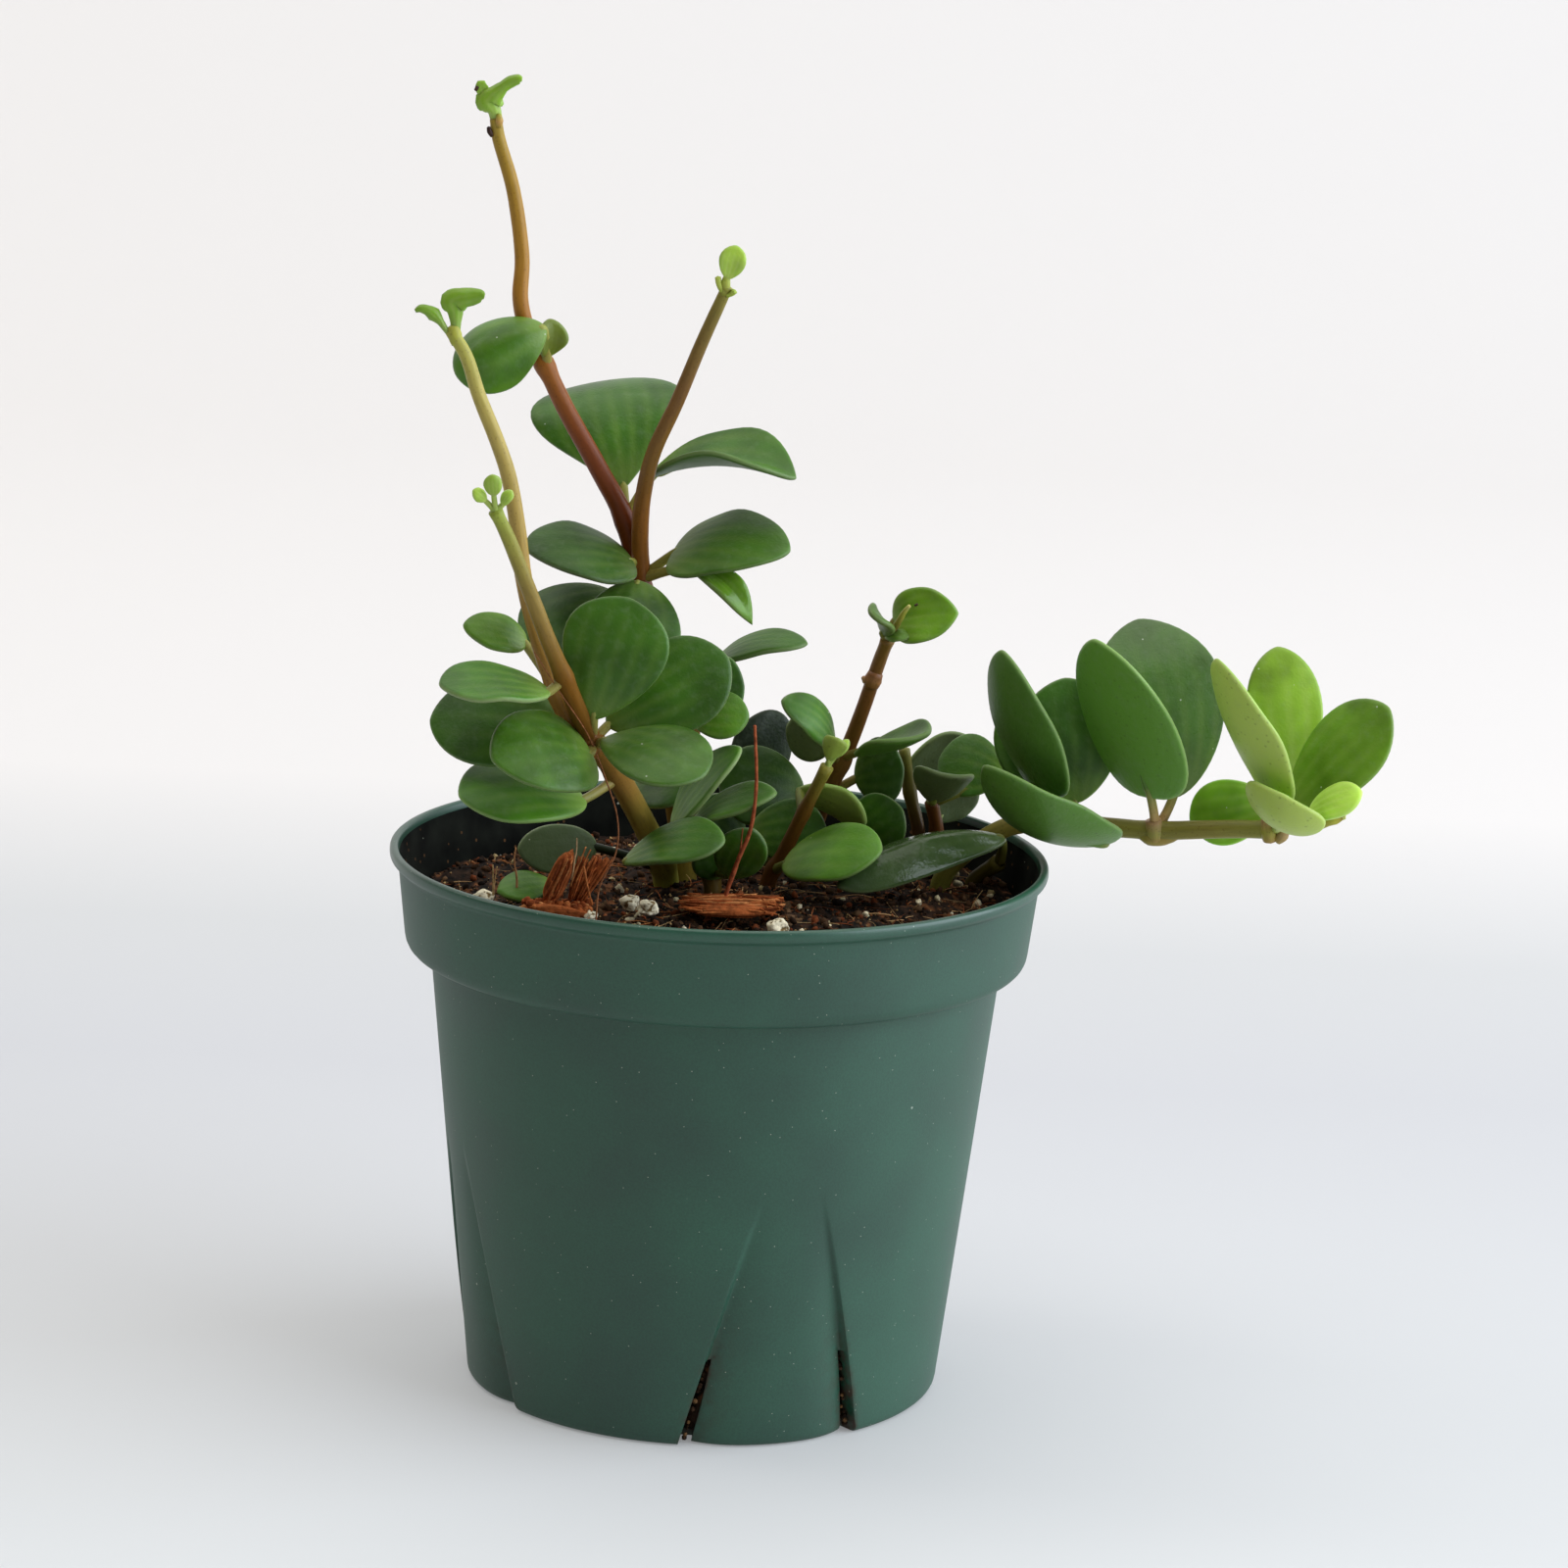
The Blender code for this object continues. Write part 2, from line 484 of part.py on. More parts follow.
def outer_profile():
    """The pot's outside from its foot up over the band to the middle of the lip."""
    return [
        (BODY_RADIUS_FOOT - FOOT_ROUND, 0.0),
        (BODY_RADIUS_FOOT - FOOT_ROUND * 0.3, FOOT_ROUND * 0.3),
        (body_radius(FOOT_ROUND), FOOT_ROUND),
        (body_radius(SLIT_TOP_Z), SLIT_TOP_Z),
        (body_radius(PANEL_TOP_Z), PANEL_TOP_Z),
        (BODY_RADIUS_TOP, BAND_FOOT_Z),
        (BAND_RADIUS_FOOT - 0.4, BAND_FOOT_Z),
        (BAND_RADIUS_FOOT, BAND_FOOT_Z + 0.5),
        (BAND_RADIUS_TOP, LIP_FLARE_Z),
        (RIM_RADIUS - 0.3, LIP_FLARE_Z + 0.7),
        (RIM_RADIUS, RIM_TOP - 0.8),
        (RIM_RADIUS - LIP_ROUND, RIM_TOP),
        (RIM_RADIUS - LIP_THICKNESS + 0.4, RIM_TOP),
    ]


def inner_profile():
    """The pot's inside from the lip down to the edge of its floor."""
    return [
        (RIM_RADIUS - LIP_THICKNESS, RIM_TOP - LIP_ROUND),
        (BAND_RADIUS_FOOT - WALL, BAND_FOOT_Z + WALL + 0.3),
        (BODY_RADIUS_TOP - WALL, BAND_FOOT_Z + WALL),
        (body_radius(PANEL_TOP_Z) - WALL, PANEL_TOP_Z),
        (body_radius(SLIT_TOP_Z) - WALL, SLIT_TOP_Z),
        (BODY_RADIUS_FOOT - WALL - 0.4, FLOOR + 0.5),
        (BODY_RADIUS_FOOT - WALL - 1.2, FLOOR),
    ]


def closed_rings(name, rings, finish):
    """A closed solid from rings that start and end at flat discs."""
    columns = len(rings[0])
    points = [point for ring in rings for point in ring]
    faces = ring_bands(rings)
    first_middle, last_middle = len(points), len(points) + 1
    points += [(0, 0, rings[0][0][2]), (0, 0, rings[-1][0][2])]
    top = (len(rings) - 1) * columns
    for column in range(columns):
        following = (column + 1) % columns
        faces.append((first_middle, following, column))
        faces.append((last_middle, top + column, top + following))
    return add_object(name, points, faces, finish)


def add_slit(panel, side):
    """The cutter of one slit: a wedge through the wall along a panel's lower edge."""
    corners = ((-SLIT_REACH_IN, -1), (-SLIT_REACH_IN, 1), (SLIT_REACH_OUT, 1), (SLIT_REACH_OUT, -1))
    points = []
    for z, width in ((-1.0, SLIT_WIDTH_FOOT), (SLIT_TOP_Z, SLIT_WIDTH_TOP)):
        edge = side * (panel_half(max(z, 0.0)) - PANEL_STEP)
        turn = math.radians(PANEL_TURN + panel * 360 / PANEL_COUNT + edge)
        out = np.array([math.sin(turn), -math.cos(turn), 0.0])
        aside = np.array([math.cos(turn), math.sin(turn), 0.0])
        radius = body_radius(max(z, 0.0))
        for reach, shift in corners:
            point = out * (radius + reach) + aside * shift * width / 2
            points.append((point[0], point[1], z))
    faces = [(0, 1, 2, 3), (7, 6, 5, 4), (0, 4, 5, 1), (1, 5, 6, 2), (2, 6, 7, 3), (3, 7, 4, 0)]
    cutter = add_object("slit", points, faces)
    turn_outward(cutter)
    return cutter


def turn_outward(piece):
    """Makes all faces of a closed mesh point outwards."""
    shell = bmesh.new()
    shell.from_mesh(piece.data)
    bmesh.ops.recalc_face_normals(shell, faces=shell.faces)
    shell.to_mesh(piece.data)
    shell.free()


def shade_round(piece):
    """Smooth shading with the creases kept sharp."""
    piece.data.shade_smooth()
    piece.data.set_sharp_from_angle(angle=math.radians(SHARP_ANGLE))


def add_pot():
    """The pot: one wall turned from its outer and inner profile, with the slits cut."""
    finish = material("green_pot_plastic", "2f5a4c", 0.45)
    rings = turned_wall(outer_profile(), 0.0) + turned_wall(inner_profile(), PANEL_SPREAD_INSIDE)
    pot = closed_rings("pot", rings, finish)
    slits = [add_slit(panel, side) for panel in range(PANEL_COUNT) for side in (-1, 1)]
    boolean(pot, slits, "DIFFERENCE")
    shade_round(pot)
    return pot


# Soil and loose pieces

def soil_height(x, y):
    """The soil's surface: gentle bumps on its level, a little higher to the right and back."""
    bumps = (np.sin(0.21 * x + 0.7) * np.cos(0.18 * y - 0.4) + 0.5 * np.sin(0.43 * x - 0.3 * y))
    return SOIL_LEVEL + SOIL_BUMP * bumps + 0.02 * x


def soil_profile():
    """The soil's side from its floor up to its surface, clear of the pot's inside."""
    inside = [(radius - CLEARANCE, z + CLEARANCE) for radius, z in reversed(inner_profile()[1:])]
    lip_radius, lip_z = inner_profile()[0]
    ledge_radius, ledge_z = inner_profile()[1]
    share = (SOIL_LEVEL - ledge_z) / (lip_z - ledge_z)
    edge = ledge_radius + share * (lip_radius - ledge_radius) - 2 * CLEARANCE
    return inside, edge


def add_soil(leafy_stems):
    """The filling of soil, with a hole for each foot."""
    finish = material("peat_soil", "2b2019", 0.95)
    side, edge = soil_profile()
    rings = turned_wall(side, PANEL_SPREAD_SOIL)
    for share in SOIL_RINGS:
        ring = np.array(wall_ring(edge * share, SOIL_LEVEL, 0.0))
        ring[:, 2] = soil_height(ring[:, 0], ring[:, 1])
        rings.append(ring.tolist())
    soil = closed_rings("soil", rings, finish)
    soil.data.vertices[-1].co.z = soil_height(0.0, 0.0) * MM
    holes = []
    for plan in leafy_stems.values():
        foot_radius, tip_radius, points = plan["shoots"][0]
        low = (points[0][0], points[0][1], points[0][2] - HOLE_CLEARANCE)
        route, radii = shoot_route((foot_radius, tip_radius, [low] + points[1:]))
        inside = route[:, 2] < SOIL_LEVEL + HOLE_CUT_ABOVE
        last = max(int(np.argmin(inside)), 2)
        holes.append(add_tube(route[:last + 1], radii[:last + 1] + HOLE_CLEARANCE, STEM_SIDES))
    boolean(soil, holes, "DIFFERENCE")
    shade_round(soil)
    return soil


def rest_on_soil(points):
    """Lifts points so that the lowest of them over the soil is just clear of it."""
    gap = np.min(points[:, 2] - soil_height(points[:, 0], points[:, 1]))
    return points + (0, 0, CLEARANCE + SOIL_CHORD - gap)


def add_grain(name, x, y, size, seed, finish):
    """A lump of perlite: a ball of 42 points pushed in and out at random."""
    draw = np.random.default_rng(seed)
    shell = bmesh.new()
    bmesh.ops.create_icosphere(shell, subdivisions=1, radius=1.0)
    shape = np.array([vertex.co for vertex in shell.verts])
    faces = [[vertex.index for vertex in face.verts] for face in shell.faces]
    shell.free()
    shape *= size / 2 * draw.uniform(0.8, 1.1, (len(shape), 1)) * (1.15, 0.95, 0.8)
    return add_object(name, rest_on_soil(shape + (x, y, 0)), faces, finish)


def add_flat_chip(name, finish):
    """A flat chip of coir husk: rounded at its ends, ridged along its length, thicker in the middle."""
    length, width, thickness = FLAT_CHIP_SIZE
    columns, rows = FLAT_CHIP_GRID
    u, v = np.meshgrid(np.linspace(-1, 1, columns), np.linspace(-1, 1, rows), indexing="ij")
    x = u * length / 2 * (1 - 0.08 * np.abs(np.sin(5 * v)))
    y = v * width / 2 * (1 - 0.15 * u ** 2) + 0.4 * np.sin(4 * u)
    top = thickness * (1 - 0.35 * u ** 2) * (0.8 + 0.2 * np.cos(7 * v))
    turn = math.radians(FLAT_CHIP_TURN)
    across = x * math.cos(turn) - y * math.sin(turn) + FLAT_CHIP_PLACE[0]
    away = x * math.sin(turn) + y * math.cos(turn) + FLAT_CHIP_PLACE[1]
    upper = np.stack([across, away, top], -1).reshape(-1, 3)
    count = columns * rows
    faces = []
    for corner in [i * rows + j for i in range(columns - 1) for j in range(rows - 1)]:
        beside, beyond = corner + rows, corner + rows + 1
        for face in ((corner, beside, beyond), (corner, beyond, corner + 1)):
            faces += [face, tuple(count + k for k in reversed(face))]
    near = [i * rows for i in range(columns)]
    right = list(range((columns - 1) * rows + 1, count))
    far = [i * rows + rows - 1 for i in range(columns - 2, -1, -1)]
    left = list(range(rows - 2, 0, -1))
    border = near + right + far + left
    for start, end in zip(border, border[1:] + border[:1]):
        faces.append((start, end, count + end, count + start))
    chip = add_object(name, rest_on_soil(np.concatenate([upper, upper * (1, 1, 0)])), faces, finish)
    turn_outward(chip)
    return chip


def settle(piece):
    """Lifts a finished piece so that it rests on the soil."""
    points = np.array([vertex.co for vertex in piece.data.vertices]) / MM
    piece.data.vertices.foreach_set("co", (rest_on_soil(points) * MM).ravel())
    piece.data.update()


def add_split_chip(name, finish):
    """A chip of coir husk split into strands that stand up out of one block."""
    draw = np.random.default_rng(SPLIT_CHIP_SEED)
    x, y = SPLIT_CHIP_PLACE
    strands = []
    for share in np.linspace(-0.5, 0.5, SPLIT_CHIP_STRANDS):
        foot = np.array([x + share * SPLIT_CHIP_WIDTH, y + draw.uniform(-1, 1), 0.0])
        rise = SPLIT_CHIP_HEIGHT * draw.uniform(0.75, 1.0) * (1 - 0.9 * share ** 2)
        head = foot + (share * SPLIT_CHIP_SPREAD + SPLIT_CHIP_LEAN, draw.uniform(-1, 1), rise)
        route = np.array([foot, 0.5 * (foot + head), head])
        strands.append(add_tube(route, SPLIT_CHIP_STRAND_RADII, STALK_SIDES))
    half = SPLIT_CHIP_WIDTH / 2 + 1
    block = np.array([(x - half, y, 0.6), (x + half, y, 0.6)])
    chip = add_tube(block, SPLIT_CHIP_BLOCK_RADII, STEM_SIDES)
    boolean(chip, strands, "UNION", "MANIFOLD")
    settle(chip)
    chip.name = name
    chip.data.materials.clear()
    chip.data.materials.append(finish)
    return chip


def add_fallen_leaf(name, finish):
    """A dropped blade that lies on the soil."""
    blade = add_blade(FALLEN_LEAF)
    settle(blade)
    blade.name = name
    blade.data.materials.append(finish)
    return blade


def main():
    for old in list(bpy.data.objects):
        bpy.data.objects.remove(old)
    leaf_green = material("peperomia_leaf", "4c7a38", 0.4)
    perlite = material("perlite", "d9d2c2", 0.9)
    husk = material("coir_husk", "8a4a30", 0.9)
    add_pot()
    add_soil(LEAFY_STEMS)
    for name, plan in LEAFY_STEMS.items():
        add_leafy_stem(name, plan, leaf_green)
    add_flat_chip("flat_coir_chip", husk)
    add_split_chip("split_coir_chip", husk)
    add_fallen_leaf("fallen_leaf", leaf_green)
    for number, (x, y, size) in enumerate(PERLITE_GRAINS, 1):
        add_grain(f"perlite_grain_{number}", x, y, size, number, perlite)


main()
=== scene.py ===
"""The looks of a trailing jade peperomia in a green plastic nursery pot.

Blender 4.5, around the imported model, in the same frame: +Z up, the origin in the middle of the pot's
base, +X to the right of the front view and +Y away from it. Lengths below are millimetres unless a
name ends in _M. Every shape is a formula on a grid of points, worked out with numpy.
"""

import math

import bmesh
import bpy
import numpy as np
from mathutils import Matrix, Vector


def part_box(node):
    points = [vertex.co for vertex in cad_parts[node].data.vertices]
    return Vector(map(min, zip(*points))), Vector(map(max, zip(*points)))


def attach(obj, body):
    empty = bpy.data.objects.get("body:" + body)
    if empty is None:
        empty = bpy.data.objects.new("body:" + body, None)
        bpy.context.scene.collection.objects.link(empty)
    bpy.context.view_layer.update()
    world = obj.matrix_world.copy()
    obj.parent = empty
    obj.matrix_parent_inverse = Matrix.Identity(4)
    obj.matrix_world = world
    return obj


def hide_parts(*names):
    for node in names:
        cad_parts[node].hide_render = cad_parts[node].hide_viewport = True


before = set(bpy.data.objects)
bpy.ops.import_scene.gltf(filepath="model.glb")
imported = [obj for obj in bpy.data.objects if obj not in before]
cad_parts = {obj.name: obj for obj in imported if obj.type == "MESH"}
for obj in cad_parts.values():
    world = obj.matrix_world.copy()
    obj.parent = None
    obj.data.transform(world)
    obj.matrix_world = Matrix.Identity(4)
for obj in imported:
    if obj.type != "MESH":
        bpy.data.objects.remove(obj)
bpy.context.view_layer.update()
MM = 0.001

# Camera: the photograph's view, taken as 1600 pixels square.
CAMERA_TARGET_M = (0.01006, 0.0, 0.1007)
CAMERA_DISTANCE_M = 0.8
CAMERA_ELEVATION = 12.5
CAMERA_ROLL = 2.37
CAMERA_LENS = 112.3

# Pot, as in the CAD.
RIM_RADIUS = 54.0
RIM_TOP = 89.1
LIP_FLARE_Z = 86.5
BAND_RADIUS_TOP = 52.6
BAND_RADIUS_FOOT = 51.0
BAND_FOOT_Z = 72.5
BODY_RADIUS_TOP = 47.0
BODY_RADIUS_FOOT = 39.4
FOOT_ROUND = 1.6
WALL = 0.9
FLOOR = 1.2
LIP_WIDTH = 1.6
LIP_DEPTH = 1.2
SHARP_DEGREES = 38
PANEL_COUNT = 4
PANEL_TURN = 19.0
PANEL_TOP_Z = 42.0
PANEL_HALF_TOP = 7.2
PANEL_HALF_FOOT = 22.5
PANEL_DEPTH = 2.4
PANEL_STEP = 0.7
SLIT_TOP_Z = 15.0
SLIT_WIDTH_FOOT = 2.0
SLIT_WIDTH_TOP = 0.9
SLIT_REACH_IN = 6.0
SLIT_REACH_OUT = 3.0
PANEL_COLUMNS = 26
WALL_COLUMNS = 40
RING_SPACING = 2.5
PANEL_BULGE = 3.0
# Degrees by which a panel's dent is wider at each side on the wall's inside and on the soil.
INNER_SPREAD = 1.3
SOIL_SPREAD = 1.9
# Degrees beyond a panel's edge, and the share of its depth there: a soft S across the crease.
CREASE = ((1.3, 0.0), (0.5, 0.0), (0.15, 0.04), (-0.15, 0.3), (-0.45, 0.72), (-0.75, 0.95), (-1.1, 1.0))

# Soil, as in the CAD.
SOIL_LEVEL = 80.0
SOIL_BUMP = 0.8
SOIL_EDGE_RADIUS = 50.6
SOIL_RINGS = 110
SOIL_SPACING = 1.5
SOIL_RELIEF = 1.1
SOIL_GAP = 1.2
SLIT_CRUMBS = 16
STRAND_SIDES = 5
HAIR_SIDES = 4
LONG_FIBRE_SIDES = 7
HAIRS = 900
STANDING_SHARE = 0.12
FLAT_CHIP_STRANDS = 150
SPLIT_CHIP_CRUMBS = 90

# Blades and stems.
BLADE_THICKNESS = 1.15
YOUNG_BLADE_THICKNESS = 0.75
SMALL_BLADE = 5.0
EDGE_ROUND = 0.5
BLADE_COLUMNS = 52
YOUNG_BLADE_COLUMNS = 24
STALK_RADIUS = 0.8
YOUNG_STALK_RADIUS = 0.45
# Waves and ripples along a blade's margin, and the step that its normals are taken over.
WAVES = 1.3
RIPPLES = 2.2
SURFACE_STEP = 0.002
# From this age on a leaf has a young stalk.
YOUNG_AGE = 0.8
# A shoot's swelling at a leaf, as a share of its radius, and how far it reaches along the shoot.
NODE_SWELL = 0.16
NODE_REACH = 1.5
STEM_SIDES = 16
STALK_SIDES = 10
VEIN_SPACING = 0.5
# Colours of the leaves by age, from 0 for an old blade to 1 for a new one: the upper face, the lower
# face, and the paler green of veins, foot and edge.
UPPER_GREENS = ((0.0, "325814"), (0.2, "3e6a16"), (0.35, "4f7d1a"), (0.6, "709e24"), (0.8, "8cb234"),
                (1.0, "9ebc44"))
LOWER_GREENS = ((0.0, "6f7660"), (0.12, "5a6a3e"), (0.2, "456826"), (0.3, "50782a"), (0.8, "a0b454"),
                (1.0, "a3b84e"))
GLOW_GREENS = ((0.0, "6c8a3c"), (0.3, "82a044"), (0.8, "b4c66c"), (1.0, "c3cf7a"))
YOUNG_STALK = ("93a64e", "a3b55c")
POT_GREEN_DARK = "173e2f"
POT_GREEN_LIGHT = "204d3a"

# Room. The floor's colours run from the front to the wall, by the share of the way back: a pale grey
# with painted light and shade, darkest about 0.18 m behind the object. The floor also glows with them
# a little, as painted fill light that lifts the shadows on it.
FLOOR_COLOURS_AND_PAINTED_SHADE = ((0.1, "b9bbbb"), (0.6, "a8a9ac"), (0.74, "abacad"), (0.93, "bebcbb"))
FLOOR_PAINTED_FILL_GLOW = 0.46
FLOOR_FRONT_M = -0.3
FLOOR_BACK_M = 0.5
BACKDROP_Y_M = 1.0
SWEEP_M = 0.6
# The even light from all round.
ROOM_COLOUR = "f8f6f0"
ROOM_STRENGTH = 0.25
# Each light's name, place and target in metres, width in metres, power in watts and colour.
LIGHTS = (
    ("window", (1.45, -0.25, 0.42), (0.0, 0.0, 0.1), 2.0, 58.0, "e8f2ff"),
    ("ceiling", (0.0, 0.1, 2.0), (0.0, 0.0, 0.1), 2.4, 30.0, "fffdfa"),
    ("wall_wash", (-1.3, 0.4, 1.3), (-0.5, 1.6, 0.6), 1.0, 9.0, "fffaf4"),
)

# Each leafy stem has shoots and leaves, in millimetres. A shoot is (foot radius, tip radius, points
# from foot to tip). A leaf is (shoot, place along its points, foot of the blade, tip of the blade,
# width, (heading, lift) that its upper face looks to, arch along it, cup across it, wedge, age).
# Heading 0 is +X and 90 is +Y, lift 90 is up. Arch is a share of the length and cup a share of half
# the width, both towards the upper face. Wedge 1 is widest near the tip and -1 near the foot. Age 0
# is an old dark blade and 1 a new pale one. Where a leaf has one more value, it holds gloss, olive,
# grey and stalk for its look, fold, point, curl and wave for its form, and light: painted light and
# shade, which makes the blade lighter where that leaf is lit and darker where it lies in shade, down
# to near black for a leaf deep at the back. stems holds each shoot's colours from foot to tip, and
# stalk the leaf stalks' colours. young and knots hold the values of young_shell and knot_shell;
# young_shell's light is painted light and shade too.
LEAFY_STEMS = {}
LEAFY_STEMS["tall_vine"] = {
    "stems": [["8a8434", "725a20", "6a3c18", "6a3410"],
              ["60280a", "743810", "98601c", "9a7228", "94802e"],
              ["84501c", "7c4e1c", "70501f", "6e4c24", "74642c", "8a8a38"]],
    "stalk": ("8a7a3a", "8fa04a"),
    "shoots": [
        (2.1, 1.7, [(-6, 17, 69), (-6, 17, 81), (-8, 14, 95), (-11, 11, 108), (-13.5, 8, 121),
         (-14.5, 5.5, 131)]),
        (1.7, 1.0, [(-14.5, 5.5, 131), (-17.5, 6, 142), (-22, 5, 150.5), (-27.5, 4, 160), (-31, 3, 167),
         (-34, 3, 172.5), (-35.5, 3, 178), (-35.5, 4, 185), (-37.2, 5, 195), (-39.8, 6, 203),
         (-40.4, 5.6, 206.4)]),
        (1.5, 0.9, [(-14.5, 5.5, 131), (-15, 3, 141), (-14.5, 1, 148), (-13, -1, 155), (-9.5, -3, 163.5),
         (-6, -5, 173), (-3, -7, 180.5), (-2.2, -7.5, 182.5)]),
    ],
    "leaves": [
        (1, 4, (-31, -1, 174), (-45.3, -4, 167), 12.2, (-100, 25), 0.14, -0.75, 0.1, 0.3,
         {"gloss": 0.4, "curl": 0.15, "wave": 0.3, "light": 0.46, "point": 0.1, "fold": -0.2}),
        (1, 4.2, (-31.2, 2.2, 168.8), (-30.6, 0.2, 175.4), 5.4, (-60, 12), 0.12, 0.6, 0.2, 0.45,
         {"olive": 0.55, "light": 0.5, "point": 0.1}),
        (1, 1, (-18, 9, 147), (-23, 22, 164.5), 27, (-90, 35), 0.12, -0.1, 0.8, 0.1,
         {"gloss": 0.45, "wave": 0.6, "point": 0.05, "curl": 0.25, "light": 0.53}),
        (1, 1, (-14, 7, 149.5), (10, -2, 151.5), 15, (-90, 78), 0.1, 0.12, 0, 0.2,
         {"gloss": 0.2, "fold": 0.45, "point": 0.5, "wave": 0.5, "light": 0.44}),
        (1, 0.4, (-16, 2, 136), (-33, -6, 138.8), 17, (-90, 66), 0.1, -0.1, -0.6, 0.1,
         {"light": 0.26, "gloss": 0.1}),
        (2, 0.2, (-9.5, 4, 137.5), (9.5, -5, 140), 16.5, (-90, 58), 0.12, -0.1, -0.9, 0.3,
         {"light": 0.33, "gloss": 0.1}),
        (2, 0.2, (-6.8, 0, 136.3), (4, -7, 129.7), 5.5, (-70, 35), 0.15, 0, 0, 0.5,
         {"fold": 0.5, "gloss": 0.8, "point": 0.8, "curl": 0.2, "light": 0.38}),
        (0, 4.9, (-18, 3.5, 130), (-33, -5, 123.5), 16, (-110, 45), 0.1, -0.1, 0, 0.1, {"light": 0.38}),
        (0, 4.9, (-15, -1, 133.5), (-16.5, -12, 119), 17, (-90, 35), 0.15, -0.12, 0, 0.1, {"light": 0.4}),
        (0, 2.3, (-15, 9, 96.5), (-3.5, 4, 100.5), 13, (-90, 50), 0.1, -0.05, 0, 0),
        (2, 7, (-2.2, -7.8, 183.8), (-0.9, -9, 189.4), 4.6, (-90, 10), 0.1, 0.2, 0.2, 1,
         {"light": 0.52, "gloss": 0.6}),
    ],
    "young": [
        (((-40.3, 5.6, 206), (-40.6, 5, 207.6), (-41.1, 4.7, 208.5), (-41.5, 4.5, 209.3),
         (-40.6, 4.2, 210.4), (-39.3, 3.7, 211.7), (-38.1, 3.3, 212.6), (-36.8, 3, 213.1),
         (-36.2, 3, 213.1)), (0.95, 1.1, 1.7, 2.35, 1.45, 0.95, 1.0, 0.8, 0.35), 0.35, 0.44, 0.75),
        (((-42, 6, 208.8), (-42.4, 5.6, 210.3), (-42.8, 5.4, 211.4), (-42.9, 5.3, 212.4)),
         (0.4, 0.95, 1.1, 0.6), -0.3, 0.45, 0.8),
    ],
    "knots": [
        (((-40.9, 5.4, 203.7), (-41.3, 5.1, 204.4), (-41.5, 5, 205.1)), (0.35, 0.45, 0.3),
         ["3a2414", "2a1414"]),
        (((-43.4, 4.8, 211.5), (-43.7, 4.6, 210.9)), (0.3, 0.3), ["3a2414", "3a2414"]),
        (((-39.9, 5.2, 205.2), (-39.8, 4.9, 206.2), (-39.9, 4.8, 207.2)), (0.5, 0.65, 0.4),
         ["94802e", "b0884c", "a09a3c"]),
        (((-2.6, -7.4, 181.3), (-2.5, -7.6, 183), (-2.3, -7.8, 184.2)), (0.85, 0.8, 0.55),
         ["8a8a38", "a0ac48"]),
        (((-3, -7.8, 181.9), (-3.5, -8, 183), (-3.7, -8, 184.1)), (0.4, 0.45, 0.5), ["98a440", "a4b04c"]),
        (((-2.2, -7.9, 181.2), (-1.4, -8.2, 181.6), (-1, -8.4, 182.1)), (0.35, 0.4, 0.55),
         ["98a440", "9cb048"]),
        (((-14.2, 5.5, 128.8), (-14.5, 5.2, 131), (-14.8, 4.8, 133.4)), (1.7, 2.1, 1.6),
         ["6a3c18", "5c3014", "6c3410"]),
    ],
}
